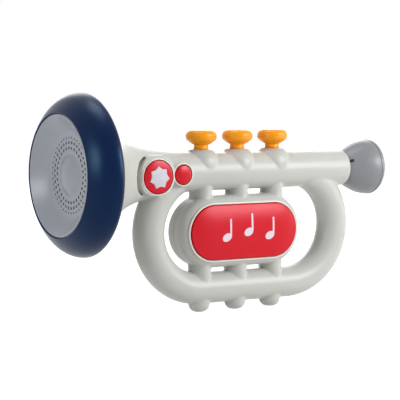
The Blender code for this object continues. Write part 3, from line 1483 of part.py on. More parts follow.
def make_materials():
    """The finishes, as linear colours."""
    MATERIALS["body"] = plastic("body", (0.58, 0.58, 0.55), 0.38)
    MATERIALS["grey"] = plastic("grey", (0.58, 0.58, 0.55), 0.38)
    MATERIALS["blue"] = plastic("blue", (0.010, 0.035, 0.110), 0.35)
    MATERIALS["grille"] = plastic("grille", (0.32, 0.33, 0.36), 0.45)
    MATERIALS["mouthpiece_grey"] = plastic("mouthpiece_grey", (0.32, 0.33, 0.36), 0.45)
    MATERIALS["orange"] = plastic("orange", (0.86, 0.32, 0.03), 0.35)
    MATERIALS["red"] = plastic("red", (0.60, 0.012, 0.035), 0.28)
    MATERIALS["white"] = plastic("white", (0.68, 0.68, 0.72), 0.35)
    MATERIALS["black"] = plastic("black", (0.02, 0.02, 0.02), 0.5)
    MATERIALS["paper"] = plastic("paper", (0.04, 0.04, 0.04), 0.9)
    MATERIALS["magnet"] = plastic("magnet", (0.08, 0.08, 0.09), 0.5, 0.6)
    MATERIALS["steel"] = plastic("steel", (0.55, 0.55, 0.56), 0.3, 1.0)
    MATERIALS["board"] = plastic("board", (0.02, 0.16, 0.06), 0.5)
    MATERIALS["cell"] = plastic("cell", (0.05, 0.05, 0.05), 0.35, 0.3)


def finish(obj, material, origin=(0, 0, 0)):
    """Gives the piece its material, smooth shading and origin, and hangs it from the trumpet's empty."""
    obj.data.materials.clear()
    obj.data.materials.append(MATERIALS[material])
    for face in obj.data.polygons:
        face.material_index = 0
    obj.data.transform(Matrix.Translation(-Vector(origin)))
    obj.location = origin
    obj.data.shade_smooth()
    obj.data.set_sharp_from_angle(angle=math.radians(SHARP_ANGLE_DEGREES))
    obj.parent = bpy.data.objects["trumpet"]
    return obj


def main():
    clear_scene()
    trumpet = bpy.data.objects.new("trumpet", None)
    bpy.context.scene.collection.objects.link(trumpet)
    make_materials()
    front, rear, solid = body_shells()
    battery_door(solid)
    finish(front, "body")
    finish(rear, "body")
    finish(bell_rim(), "blue")
    finish(speaker_grille(), "grille")
    speaker()
    for count, x in enumerate(VALVE_XS, 1):
        valve(count, x)
    valve_board()
    front_buttons()
    music_button()
    main_board()
    battery_tray()
    batteries()
    power_switch()
    mouthpiece()
    body_screws()
    speaker_wires()
    trumpet.location = (-MODEL_CENTRE_X, 0, -FOOT_Z)


main()
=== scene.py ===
import math

import bmesh
import bpy
from bmesh.types import BMEdge, BMVert
from mathutils import Matrix, Vector


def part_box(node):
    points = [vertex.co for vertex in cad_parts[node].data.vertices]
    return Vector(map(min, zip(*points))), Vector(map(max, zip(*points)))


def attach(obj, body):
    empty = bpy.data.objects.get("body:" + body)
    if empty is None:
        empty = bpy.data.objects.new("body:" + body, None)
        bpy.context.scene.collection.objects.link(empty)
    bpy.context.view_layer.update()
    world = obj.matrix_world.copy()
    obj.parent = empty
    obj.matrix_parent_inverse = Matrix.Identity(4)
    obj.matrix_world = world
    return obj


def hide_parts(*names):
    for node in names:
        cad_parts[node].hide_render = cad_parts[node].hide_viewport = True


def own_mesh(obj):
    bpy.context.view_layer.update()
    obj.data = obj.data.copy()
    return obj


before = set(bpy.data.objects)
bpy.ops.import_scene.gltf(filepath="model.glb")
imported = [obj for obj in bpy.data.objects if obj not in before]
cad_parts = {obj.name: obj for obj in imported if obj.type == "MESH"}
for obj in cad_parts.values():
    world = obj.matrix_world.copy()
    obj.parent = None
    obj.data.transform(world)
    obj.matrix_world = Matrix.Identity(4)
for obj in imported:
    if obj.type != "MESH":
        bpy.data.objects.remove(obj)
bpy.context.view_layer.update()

# Lengths are metres, laid out about the point where the tube's axis meets the middle valve's axis
HOME = Vector((0.011758, 0, 0.1004))
WALL = 0.0020
GAP = 0.0003
SLIDE = 0.00035
JUST = 0.000002
VOXEL = 0.00066

# Tube and flare
TUBE_RADIUS = 0.0130
TUBE_END_X = 0.0954
TUBE_END_ROUNDING = 0.0017
FLARE_START_X = -0.030
FLARE_MOUTH_X = -0.1203
FLARE_MOUTH_RADIUS = 0.0447
FLARE_LENGTH = 0.0230
MOUTH_BACK_X = -0.1233

# Bell rim and speaker grille
RIM_WALL = 0.0025
RIM_CENTRE_RADIUS = 0.0151
RIM_RADIAL_AXIS = 0.0409
RIM_FRONT_AXIS = 0.0247
RIM_BACK_AXIS = 0.0100
RIM_WIDEST_X = -0.1272
RIM_OPENING = 0.0414
RIM_BACK_OPENING = 0.0453
GRILLE_EDGE_X = -0.1453
GRILLE_FLAT_X = -0.13562
GRILLE_EDGE_RADIUS = 0.0412
GRILLE_FLAT_RADIUS = 0.0285
GRILLE_WALL = 0.0018
GRILLE_DOME_RADIUS = 0.0146
GRILLE_DOME_RISE = 0.0046
# Each ring of holes: its radius, how many holes and their radius
HOLE_RINGS = ((0.0185, 30, 0.00108), (0.0222, 36, 0.00108), (0.0255, 42, 0.00072))

# Valves, their bosses and their caps
VALVE_PITCH = 0.0309
VALVE_XS = (-VALVE_PITCH, 0, VALVE_PITCH)
BOSS_RADIUS = 0.0136
BOSS_DOME_Z = 0.0049
BOSS_TOP_Z = 0.0160
CAP_RADIUS = 0.0111
CAP_EDGE_Z = 0.0247
CAP_TOP_Z = 0.0296
CAP_UNDERSIDE_Z = 0.0192
STEM_RADIUS = 0.0051

# Loop handle, posts and feet
LOOP_DROP = 0.0835
LOOP_ARC_RADIUS = LOOP_DROP / 2
LOOP_LEFT_X = -0.03205
LOOP_RIGHT_X = 0.04545
LOOP_TUBE_RADIUS = 0.0113
POST_RADIUS = 0.0074
POST_HALF_DEPTH = 0.0101
FOOT_Z = -0.1004
FOOT_EDGE_RADIUS = 0.0050

# Housing and large button
HOUSING_X = -0.0014
HOUSING_Z = -0.04265
HOUSING_HALF_STRAIGHT = 0.02585
HOUSING_HALF_HEIGHT = 0.02585
HOUSING_HALF_DEPTH = 0.0128
HOUSING_EDGE_RADIUS = 0.0080
PLATE_RADIUS = 0.01965
PLATE_FRONT_Y = -0.0143
PLATE_BACK_Y = -0.0083
PLATE_SWELL = 0.0019

# Round buttons and their pads
STAR_X = -0.0765
STAR_Z = -0.0015
STAR_RADIUS = 0.0117
STAR_PAD_X = -0.07685
STAR_PAD_Z = -0.0009
STAR_PAD_HALF = (0.01375, 0.0141)
STAR_PAD_CORNER = 0.0105
STAR_RECESS_REACH = 0.0071
STAR_PAD_Y = -0.0172
SMALL_X = -0.0556
SMALL_Z = -0.0005
SMALL_RADIUS = 0.0070
SMALL_PAD_RADIUS = 0.0086
SMALL_PAD_Y = -0.0160
BUTTON_PROUD = 0.0007
BUTTON_CROWN = 0.0009
# How wide and how deep the groove round a button's raised face is
BUTTON_GROOVE = (0.0004, 0.0014)
BUTTON_PIN_RADIUS = 0.0020
BUTTON_PIN_END_Y = -0.0088
COLLAR_WIDTH = 0.0008
COLLAR_PROUD = 0.0005

# Mouthpiece
CUP_RADIUS = 0.0207
CUP_ROOT_X = 0.0960
CUP_ROOT_RADIUS = 0.0114
CUP_LIP_X = 0.1198
CUP_LIP_ROUNDING = 0.0028

# Battery door and power switch
OUTSIDE_Y = 0.02
DOOR_HALF = (0.02615, 0.01755)
DOOR_CORNER = 0.0030
DOOR_SCREW_X = HOUSING_X + DOOR_HALF[0] + 0.0055
TAB_REACH = 0.0110
TAB_HALF_HEIGHT = 0.0060
SEAT_HALF_HEIGHT = 0.0080
POWER_X = -0.0375
POWER_SLOT_HALF = (0.0043, 0.0028)

# Screws
TUBE_SCREW_X = 0.0720
FLARE_SCREW_X = -0.1010
FLARE_SCREW_Z = 0.0150
SCREW_PLACES = (
    (TUBE_SCREW_X, 0),
    (FLARE_SCREW_X, FLARE_SCREW_Z),
    (FLARE_SCREW_X, -FLARE_SCREW_Z),
    (-VALVE_PITCH, -LOOP_DROP),
    (VALVE_PITCH, -LOOP_DROP),
    (LOOP_LEFT_X - LOOP_ARC_RADIUS, -LOOP_ARC_RADIUS),
    (LOOP_RIGHT_X + LOOP_ARC_RADIUS, -LOOP_ARC_RADIUS),
)
SCREW_SEAT_Y = 0.0031
SCREW_HEAD_Y = 0.0049
SCREW_LENGTH = 0.0090
SCREW_HEAD_RADIUS = 0.0024
SCREW_SHANK_RADIUS = 0.0012
SCREW_BOSS_RADIUS = 0.0036
SCREW_SINK_RADIUS = 0.0027
SCREW_BORE_RADIUS = 0.0013

# Star and printed notes
STAR_POINTS = 7
STAR_MIDDLE = (STAR_X + 0.0002, STAR_Z - 0.0004)
STAR_POINT_RADIUS = 0.0081
STAR_HOLLOW = 0.0018
STAR_TURN = 97
NOTE_PLACES = ((-0.0180, -0.0462), (0.0005, -0.0430), (0.0190, -0.0462))
NOTE_HEAD_HALF = (0.0040, 0.0028)
NOTE_TILT = 24
NOTE_STEM_HALF = (0.0007, 0.0066)
NOTE_BACK_Y = -0.0136
NOTE_FRONT_Y = -0.0170
PRINT_THICKNESS = 0.00012

# Camera, fitted to the photograph's outline
PHOTO_WIDTH = 400
FOCAL_PIXELS = 1510.05
SENSOR_WIDTH = 36
CAMERA_PLACE = (-0.61274740, -0.89976124, 0.07288829)
CAMERA_RIGHT = (0.84037185, -0.54184059, 0.01356196)
CAMERA_UP = (0.03559524, 0.08013974, 0.99614788)

# Lamps: name, place, aim, size and power
LAMPS = (
    ("key", (0.66, -0.92, 0.52), (0.0, 0, 0.07), 0.56, 10.0),
    ("top", (-0.10, 0.14, 0.95), (-0.03, 0, 0.08), 0.44, 2.4),
    ("left", (-1.0, -0.28, 0.38), (-0.14, 0, 0.10), 0.38, 3.1),
    ("right", (1.1, -0.45, 0.30), (0.0, 0, 0.08), 0.60, 2.6),
    ("back", (0.5, 0.9, 0.45), (0.0, 0, 0.05), 0.8, 4.8),
)
AMBIENT = 0.18
FLOOR_GLOW = 1.62
SHOWING_RAYS = ("Is Camera Ray", "Is Glossy Ray", "Is Transmission Ray")

# An axis to turn about, and a direction across it
ALONG_X = (Vector((1, 0, 0)), Vector((0, 0, 1)))
ALONG_Y = (Vector((0, 1, 0)), Vector((0, 0, 1)))
ALONG_Z = (Vector((0, 0, 1)), Vector((1, 0, 0)))

# Each return spring: CAD node, joint, axis, turns, the wire's radius and the joint's travel
RETURN_SPRINGS = (
    *((f"valve_spring_{n}", f"valve_{n}_press", ALONG_Z, 5, 0.0005, 0.0025) for n in (1, 2, 3)),
    ("star_button_spring", "star_button_press", ALONG_Y, 3, 0.0004, 0.0012),
    ("small_button_spring", "small_button_press", ALONG_Y, 3, 0.0004, 0.0012),
    ("music_spring_left", "music_button_press", ALONG_Y, 3, 0.0004, 0.0015),
    ("music_spring_right", "music_button_press", ALONG_Y, 3, 0.0004, 0.0015),
)


def linked(name, shape):
    """A bmesh as an object in the scene."""
    mesh = bpy.data.meshes.new(name)
    shape.to_mesh(mesh)
    shape.free()
    obj = bpy.data.objects.new(name, mesh)
    bpy.context.scene.collection.objects.link(obj)
    return obj


def object_from(name, shape):
    """An object from a finished bmesh, its doubles merged and its faces outwards."""
    bmesh.ops.remove_doubles(shape, verts=shape.verts, dist=JUST)
    bmesh.ops.recalc_face_normals(shape, faces=shape.faces)
    return linked(name, shape)


def only(kind, items):
    """The vertices or the edges among an operator's results."""
    return [item for item in items if isinstance(item, kind)]


def edges_within(verts, items):
    """The edges among an operator's results that join two of the vertices."""
    return [edge for edge in only(BMEdge, items) if verts.issuperset(edge.verts)]


def outline_edges(shape, verts, outline):
    """Edges along an outline of (distance, radius), closed unless both its ends are on the axis."""
    pairs = list(zip(verts, verts[1:]))
    if outline[0][1] or outline[-1][1]:
        pairs.append((verts[-1], verts[0]))
    return [shape.edges.new(pair) for pair in pairs]


def lathe(name, outline, axis=ALONG_X, at=(0, 0, 0), sides=96):
    """The closed outline of (distance along the axis, radius) points spun once round the axis."""
    along, across = axis
    shape = bmesh.new()
    verts = [shape.verts.new(along * distance + across * radius) for distance, radius in outline]
    bmesh.ops.spin(
        shape,
        geom=verts + outline_edges(shape, verts, outline),
        cent=(0, 0, 0),
        axis=along,
        angle=math.tau,
        steps=sides,
        use_merge=True,
    )
    bmesh.ops.translate(shape, verts=shape.verts, vec=at)
    return object_from(name, shape)


def rod(name, start, end, radius, axis=ALONG_Y, at=(0, 0, 0), sides=48):
    """A round rod along the axis."""
    return lathe(name, [(start, 0), (start, radius), (end, radius), (end, 0)], axis, at, sides)


def oval(centre, half, start_degrees, end_degrees, steps):
    """Points along a part of an ellipse, its two ends included."""
    points = []
    for step in range(steps + 1):
        angle = math.radians(start_degrees + (end_degrees - start_degrees) * step / steps)
        points.append((centre[0] + half[0] * math.cos(angle), centre[1] + half[1] * math.sin(angle)))
    return points


def arc(centre, radius, start_degrees, end_degrees, steps):
    """Points along an arc, its two ends included."""
    return oval(centre, (radius, radius), start_degrees, end_degrees, steps)


def stadium(radius):
    """The (x, z) outline of a long shape with half-round ends about the housing's centre."""
    left = (HOUSING_X - HOUSING_HALF_STRAIGHT, HOUSING_Z)
    right = (HOUSING_X + HOUSING_HALF_STRAIGHT, HOUSING_Z)
    return arc(right, radius, -90, 90, 32) + arc(left, radius, 90, 270, 32)


def rounded_box(centre, half, corner, steps=10):
    """The (x, z) outline of a rectangle with rounded corners."""
    points = []
    for turn, (side_x, side_z) in enumerate(((1, 1), (-1, 1), (-1, -1), (1, -1))):
        middle = (
            centre[0] + side_x * (half[0] - corner),
            centre[1] + side_z * (half[1] - corner),
        )
        points += arc(middle, corner, 90 * turn, 90 * turn + 90, steps)
    return points


def prism(name, outline, near, far, edge=0, edge_steps=6, ends=2):
    """The outline of (x, z) points from y = near to y = far, one or both end edges rounded."""
    shape = bmesh.new()
    face = shape.faces.new([shape.verts.new((x, near, z)) for x, z in outline])
    made = bmesh.ops.extrude_face_region(shape, geom=[face])["geom"]
    bmesh.ops.translate(shape, verts=only(BMVert, made), vec=(0, far - near, 0))
    if edge:
        planes = (near, far)[:ends]
        rounded = [
            line
            for line in shape.edges
            if abs(line.verts[0].co.y - line.verts[1].co.y) < JUST
            and min(abs(line.verts[0].co.y - plane) for plane in planes) < JUST
        ]
        bmesh.ops.bevel(
            shape,
            geom=rounded,
            offset=edge,
            segments=edge_steps,
            profile=0.5,
            affect="EDGES",
            clamp_overlap=True,
            material=-1,
        )
    return object_from(name, shape)


def block(name, low, high, edge=0):
    """A box between two corners, all its edges rounded by edge."""
    shape = bmesh.new()
    bmesh.ops.create_cube(shape, size=1)
    size = Vector(high) - Vector(low)
    bmesh.ops.scale(shape, verts=shape.verts, vec=size)
    bmesh.ops.translate(shape, verts=shape.verts, vec=Vector(low) + size / 2)
    if edge:
        bmesh.ops.bevel(
            shape,
            geom=shape.edges[:],
            offset=edge,
            segments=3,
            profile=0.5,
            affect="EDGES",
            clamp_overlap=True,
            material=-1,
        )
    return object_from(name, shape)


def together(name, parts):
    """Several closed pieces as one object."""
    shape = bmesh.new()
    for part in parts:
        shape.from_mesh(part.data)
        bpy.data.objects.remove(part)
    return linked(name, shape)


def settled(obj, settings, kind):
    """The object's mesh with one modifier applied to it."""
    change = obj.modifiers.new("change", kind)
    for key, value in settings.items():
        setattr(change, key, value)
    graph = bpy.context.evaluated_depsgraph_get()
    mesh = bpy.data.meshes.new_from_object(obj.evaluated_get(graph))
    obj.modifiers.clear()
    obj.data = mesh
    return obj


def joined_by(operation, target, tool):
    """Joins, cuts or keeps the target by the tool, and deletes the tool."""
    settled(target, {"operation": operation, "solver": "MANIFOLD", "object": tool}, "BOOLEAN")
    bpy.data.objects.remove(tool)
    return target


def join(target, tool):
    return joined_by("UNION", target, tool)


def cut(target, tool):
    return joined_by("DIFFERENCE", target, tool)


def keep(target, tool):
    return joined_by("INTERSECT", target, tool)


def twin(obj, name):
    """A copy of the object, its mesh too."""
    copy = bpy.data.objects.new(name, obj.data.copy())
    bpy.context.scene.collection.objects.link(copy)
    return copy


def softened(obj, voxel, rounds):
    """Overlapping closed pieces melted into one skin whose creases are rounded."""
    settled(obj, {"mode": "VOXEL", "voxel_size": voxel}, "REMESH")
    shape = bmesh.new()
    shape.from_mesh(obj.data)
    for _ in range(rounds):
        bmesh.ops.smooth_vert(
            shape, verts=shape.verts, factor=0.5, use_axis_x=True, use_axis_y=True, use_axis_z=True
        )
    shape.to_mesh(obj.data)
    shape.free()
    return obj


def flare_radius(x):
    """Outer radius of the main tube and the flare at x."""
    rise = FLARE_MOUTH_RADIUS - TUBE_RADIUS
    return TUBE_RADIUS + rise * math.exp((FLARE_MOUTH_X - x) / FLARE_LENGTH)


def tube_and_flare(inset, sides):
    """The main tube with its bell flare, or the hollow inside them."""
    extra = WALL if inset else 0
    stations = 40
    outline = [(MOUTH_BACK_X - extra, 0), (MOUTH_BACK_X - extra, FLARE_MOUTH_RADIUS - inset)]
    for step in range(stations + 1):
        x = FLARE_MOUTH_X + (FLARE_START_X - FLARE_MOUTH_X) * (step / stations) ** 1.4
        outline.append((x, flare_radius(x) - inset))
    end = (TUBE_END_X - TUBE_END_ROUNDING, TUBE_RADIUS - TUBE_END_ROUNDING)
    if inset:
        outline += [(TUBE_END_X + WALL, TUBE_RADIUS - inset), (TUBE_END_X + WALL, 0)]
    else:
        outline += arc(end, TUBE_END_ROUNDING, 90, 0, 6) + [(TUBE_END_X, 0)]
    return lathe("tube", outline, sides=sides)


def valve_boss(x, inset, sides):
    """A round boss that swells out of the tube's middle and closes in a dome."""
    radius = BOSS_RADIUS - inset
    top_angle = math.degrees(math.asin((BOSS_TOP_Z - BOSS_DOME_Z) / BOSS_RADIUS))
    foot = [(-WALL, 0), (-WALL, radius - 0.0010), (0, radius - 0.0005), (WALL, radius - 0.0001)]
    dome = arc((BOSS_DOME_Z, 0), radius, 90, 90 - top_angle, 12)
    return lathe("boss", foot + dome + [(dome[-1][0], 0)], ALONG_Z, (x, 0, 0), sides)


def post(x, inset, sides):
    """A post, deeper than it is wide, from the main tube down to its foot."""
    edge_centre = (FOOT_Z + FOOT_EDGE_RADIUS, POST_RADIUS - FOOT_EDGE_RADIUS)
    foot = arc(edge_centre, FOOT_EDGE_RADIUS - inset, 180, 90, 8)
    shaft = [(z, POST_RADIUS - inset) for z in (-0.092, -LOOP_DROP, WALL)]
    outline = [(FOOT_Z + inset, 0)] + foot + shaft + [(WALL, 0)]
    shape = lathe("post", outline, ALONG_Z, (x, 0, 0), sides)
    for vert in shape.data.vertices:
        risen = min(1, (vert.co.z - FOOT_Z) / (-LOOP_DROP - FOOT_Z))
        vert.co.y *= 1 + risen * ((POST_HALF_DEPTH - inset) / (POST_RADIUS - inset) - 1)
    return shape


def loop_handle(inset, sides, steps):
    """The loop handle: a ring of tube swept round two half circles and two straights."""
    shape = bmesh.new()
    place = Matrix.Translation((LOOP_LEFT_X, 0, 0)) @ Matrix.Rotation(math.pi / 2, 4, "Y")
    radius = LOOP_TUBE_RADIUS - inset
    bmesh.ops.create_circle(shape, segments=sides, radius=radius, matrix=place)
    first = list(shape.edges)
    ring = first
    for centre_x, run in ((LOOP_LEFT_X, LOOP_RIGHT_X - LOOP_LEFT_X), (LOOP_RIGHT_X, 0)):
        swept = bmesh.ops.spin(
            shape,
            geom=[*dict.fromkeys(vert for edge in ring for vert in edge.verts), *ring],
            cent=(centre_x, 0, -LOOP_ARC_RADIUS),
            axis=(0, -1, 0),
            angle=math.pi,
            steps=steps,
        )["geom_last"]
        ring = only(BMEdge, swept)
        if run:
            made = bmesh.ops.extrude_edge_only(shape, edges=ring)["geom"]
            verts = only(BMVert, made)
            bmesh.ops.translate(shape, verts=verts, vec=(run, 0, 0))
            ring = edges_within(set(verts), made)
    bmesh.ops.bridge_loops(shape, edges=first + ring)
    return object_from("loop", shape)


def housing(inset):
    """The central housing, a deep stadium with well rounded front and back edges."""
    depth = HOUSING_HALF_DEPTH - inset
    outline = stadium(HOUSING_HALF_HEIGHT - inset)
    return prism("housing", outline, -depth, depth, HOUSING_EDGE_RADIUS - inset, 10)


def star_pad(inset):
    """The pad that carries the star button, or the hollow inside it."""
    half = (STAR_PAD_HALF[0] - inset, STAR_PAD_HALF[1] - inset)
    outline = rounded_box((STAR_PAD_X, STAR_PAD_Z), half, STAR_PAD_CORNER - inset)
    return prism("star_pad", outline, STAR_PAD_Y + inset, -WALL, 0 if inset else 0.0016, ends=1)


def small_pad(inset):
    """The pad that carries the small button, or the hollow inside it."""
    edge = 0 if inset else 0.0008
    outline = [
        (-2 * WALL, 0),
        (-2 * WALL, SMALL_PAD_RADIUS - inset),
        *arc((SMALL_PAD_Y + inset + edge, SMALL_PAD_RADIUS - inset - edge), edge, 90, 180, 4),
        (SMALL_PAD_Y + inset, 0),
    ]
    return lathe("small_pad", outline, ALONG_Y, (SMALL_X, 0, SMALL_Z), 48)


def body_parts(inset, sides):
    """The closed forms that the body is melted from, or those of the hollow inside it."""
    bell = tube_and_flare(inset, sides)
    reach = WALL if inset else 0
    left = STAR_PAD_X - STAR_PAD_HALF[0] - STAR_RECESS_REACH - reach
    right = STAR_PAD_X + STAR_PAD_HALF[0] + reach
    half = ((right - left) / 2, STAR_PAD_HALF[1] - 0.0004 + reach)
    recess = rounded_box(((left + right) / 2, STAR_PAD_Z), half, half[1] - JUST, 20)
    cut(bell, prism("recess", recess, -FLARE_MOUTH_RADIUS, STAR_PAD_Y + 0.0065 + reach))
    parts = [bell, loop_handle(inset, sides // 2, sides // 2), housing(inset)]
    parts += [star_pad(inset), small_pad(inset)]
    for x in VALVE_XS:
        parts += [valve_boss(x, inset, sides), post(x, inset, sides // 2)]
    return parts


def plate_lip():
    """The raised bead round the large button's opening."""
    inside = PLATE_RADIUS - 0.0010
    outside = PLATE_RADIUS + 0.0015
    front_y = -HOUSING_HALF_DEPTH - 0.0006
    bead = arc((front_y + 0.0007, outside - 0.0007), 0.0007, 180, 90, 5)
    return long_lathe("lip", [(-0.0115, inside), (front_y, inside), *bead, (-0.0115, outside)])


def collar(x, z, radius, front_y):
    """A low rounded ring round a round button's hole."""
    top = front_y - COLLAR_PROUD
    outer = radius + SLIDE + COLLAR_WIDTH
    outline = [
        (front_y + WALL / 2, radius - COLLAR_WIDTH),
        (top, radius - COLLAR_WIDTH),
        *arc((top + 0.0005, outer - 0.0005), 0.0005, 180, 90, 4),
        (front_y + WALL / 2, outer),
    ]
    return lathe("collar", outline, ALONG_Y, (x, 0, z))


def valve_holes():
    """The tools that cut the bosses' holes for the valve stems."""
    top = BOSS_TOP_Z + 2 * WALL
    return [rod("hole", 0, top, STEM_RADIUS + SLIDE, ALONG_Z, (x, 0, 0)) for x in VALVE_XS]


def body_shells():
    """The two half shells of the body, with openings for the buttons, the door and the screws."""
    whole = softened(together("body", body_parts(0, 96)), VOXEL, 2)
    parts = body_parts(WALL, 48)
    hollow = parts[0]
    for part in parts[1:]:
        join(hollow, part)
    cut(whole, hollow)
    low_x, high_x = MOUTH_BACK_X - WALL, LOOP_RIGHT_X + LOOP_ARC_RADIUS + 0.02
    low_z, high_z = FOOT_Z - WALL, FLARE_MOUTH_RADIUS + WALL
    rear = twin(whole, "rear_shell")
    front = whole
    front.name = "front_shell"
    keep(front, block("half", (low_x, -high_z, low_z), (high_x, -GAP / 2, high_z)))
    keep(rear, block("half", (low_x, GAP / 2, low_z), (high_x, high_z, high_z)))
    for raised in (
        plate_lip(),
        collar(STAR_X, STAR_Z, STAR_RADIUS, STAR_PAD_Y),
        collar(SMALL_X, SMALL_Z, SMALL_RADIUS, SMALL_PAD_Y),
    ):
        join(front, raised)
    star_at = (STAR_X, 0, STAR_Z)
    small_at = (SMALL_X, 0, SMALL_Z)
    for hole in (
        *valve_holes(),
        rod("hole", -OUTSIDE_Y, STAR_PAD_Y + 2 * WALL, STAR_RADIUS + SLIDE, at=star_at, sides=96),
        rod("hole", -OUTSIDE_Y, SMALL_PAD_Y + 2 * WALL, SMALL_RADIUS + SLIDE, at=small_at),
        prism("hole", stadium(PLATE_RADIUS + SLIDE), -OUTSIDE_Y, -HOUSING_HALF_DEPTH + 2 * WALL),
    ):
        cut(front, hole)
    for hole in valve_holes():
        cut(rear, hole)
    for x, z in SCREW_PLACES:
        at = (x, 0, z)
        reach = screw_reach(x)
        join(rear, rod("boss", GAP / 2, reach - WALL / 2, SCREW_BOSS_RADIUS, at=at, sides=32))
        cut(rear, rod("sink", SCREW_SEAT_Y, reach + 2 * WALL, SCREW_SINK_RADIUS, at=at))
        cut(rear, rod("bore", -WALL, SCREW_SEAT_Y + 0.0001, SCREW_BORE_RADIUS, at=at, sides=24))
    dress_battery_opening(rear)
    return front, rear


def screw_reach(x):
    """How far back the shell's outside is at a screw."""
    if x == FLARE_SCREW_X:
        return math.sqrt(flare_radius(x) ** 2 - FLARE_SCREW_Z**2)
    return TUBE_RADIUS if x == TUBE_SCREW_X else LOOP_TUBE_RADIUS


def door_outline(extra):
    """The (x, z) outline of the battery door."""
    half = (DOOR_HALF[0] + extra, DOOR_HALF[1] + extra)
    return rounded_box((HOUSING_X, HOUSING_Z), half, DOOR_CORNER + extra, 8)


def tab_outline(extra):
    """The (x, z) outline of the door's screw tab."""
    low = HOUSING_X + DOOR_HALF[0] - 0.0011
    high = HOUSING_X + DOOR_HALF[0] + TAB_REACH + extra
    half = ((high - low) / 2, TAB_HALF_HEIGHT + extra)
    return rounded_box(((low + high) / 2, HOUSING_Z), half, DOOR_CORNER, 8)


def dress_battery_opening(rear):
    """Cuts the battery door's opening and the power switch's slot, and adds the door's seat."""
    inner = HOUSING_HALF_DEPTH - WALL
    door_end = HOUSING_X + DOOR_HALF[0]
    cut(rear, prism("opening", door_outline(SLIDE), inner - WALL, OUTSIDE_Y))
    low = (door_end + 0.0013, inner - WALL, HOUSING_Z - SEAT_HALF_HEIGHT)
    high = (door_end + TAB_REACH + WALL, inner + WALL / 2, HOUSING_Z + SEAT_HALF_HEIGHT)
    join(rear, block("seat", low, high))
    cut(rear, prism("tab", tab_outline(SLIDE), inner - GAP, OUTSIDE_Y))
    low = (POWER_X - POWER_SLOT_HALF[0], inner - WALL, HOUSING_Z - POWER_SLOT_HALF[1])
    high = (POWER_X + POWER_SLOT_HALF[0], OUTSIDE_Y, HOUSING_Z + POWER_SLOT_HALF[1])
    cut(rear, block("slot", low, high))


def rim_section(inset, front_opening, steps):
    """The rim's outside or inside as (x, radius), a quarter oval each way from where it is widest."""
    centre = (RIM_WIDEST_X, RIM_CENTRE_RADIUS)
    radial = RIM_RADIAL_AXIS - inset
    start = math.degrees(math.asin((front_opening - RIM_CENTRE_RADIUS) / radial))
    end = math.degrees(math.asin((RIM_BACK_OPENING - RIM_CENTRE_RADIUS) / radial))
    front = oval(centre, (inset - RIM_FRONT_AXIS, radial), start, 90, steps)
    back = oval(centre, (RIM_BACK_AXIS - inset, radial), 90, end, steps // 2)
    return front + back[1:]


def bell_rim():
    """The dark blue ring round the bell, an open shell with a rolled front edge."""
    outside = rim_section(0, RIM_OPENING + 0.0013, 28)
    inside = rim_section(RIM_WALL, RIM_OPENING + 0.0001, 20)
    lip_x = outside[0][0]
    lip = [
        (lip_x + 0.0020, RIM_OPENING + 0.0001),
        (lip_x + 0.0011, RIM_OPENING + 0.0002),
        (lip_x + 0.0005, RIM_OPENING + 0.0005),
        (lip_x + 0.00015, RIM_OPENING + 0.0009),
    ]
    return lathe("bell_rim_ring", inside[::-1] + lip + outside, sides=160)


def speaker_grille():
    """The dished grille with a domed middle and three rings of round holes."""
    dome = []
    for step in range(13):
        share = 1 - step / 12
        rise = GRILLE_DOME_RISE * (1 - share**2)
        dome.append((GRILLE_FLAT_X - rise, GRILLE_DOME_RADIUS * share))
    flat_radii = (GRILLE_DOME_RADIUS + 0.0004, GRILLE_FLAT_RADIUS - 0.0012)
    flat = [(GRILLE_FLAT_X, radius) for radius in flat_radii]
    slope = []
    for step in range(1, 13):
        share = step / 12
        depth = (GRILLE_FLAT_X - GRILLE_EDGE_X) * (share**1.25)
        radius = GRILLE_FLAT_RADIUS + (GRILLE_EDGE_RADIUS - GRILLE_FLAT_RADIUS - 0.0009) * share
        slope.append((GRILLE_FLAT_X - depth, radius))
    bead = (GRILLE_EDGE_X + 0.0009, GRILLE_EDGE_RADIUS - 0.0005)
    edge = arc(bead, 0.0009, 180, 90, 6)
    front = dome[::-1] + flat + slope + edge
    skirt_x = MOUTH_BACK_X - 0.0018
    back = [
        (skirt_x, GRILLE_EDGE_RADIUS + 0.0003),
        (skirt_x, GRILLE_EDGE_RADIUS - 0.0015),
        (GRILLE_EDGE_X + 0.0032, GRILLE_EDGE_RADIUS - 0.0015),
        (GRILLE_FLAT_X + GRILLE_WALL, GRILLE_FLAT_RADIUS + 0.0004),
        (GRILLE_FLAT_X + GRILLE_WALL, GRILLE_DOME_RADIUS),
        (GRILLE_FLAT_X - GRILLE_DOME_RISE + GRILLE_WALL, GRILLE_DOME_RADIUS * 0.5),
        (GRILLE_FLAT_X - GRILLE_DOME_RISE + GRILLE_WALL, 0),
    ]
    grille = lathe("speaker_grille_dish", front + back, sides=128)
    shape = bmesh.new()
    for ring_radius, count, hole_radius in HOLE_RINGS:
        for step in range(count):
            turn = Matrix.Rotation(math.tau * (step + 0.5) / count, 4, "X")
            place = Matrix.Translation((GRILLE_FLAT_X + GRILLE_WALL / 2, 0, ring_radius))
            bmesh.ops.create_cone(
                shape,
                cap_ends=True,
                segments=12,
                radius1=hole_radius,
                radius2=hole_radius,
                depth=0.006,
                matrix=turn @ place @ Matrix.Rotation(math.pi / 2, 4, "Y"),
            )
    return cut(grille, object_from("holes", shape))


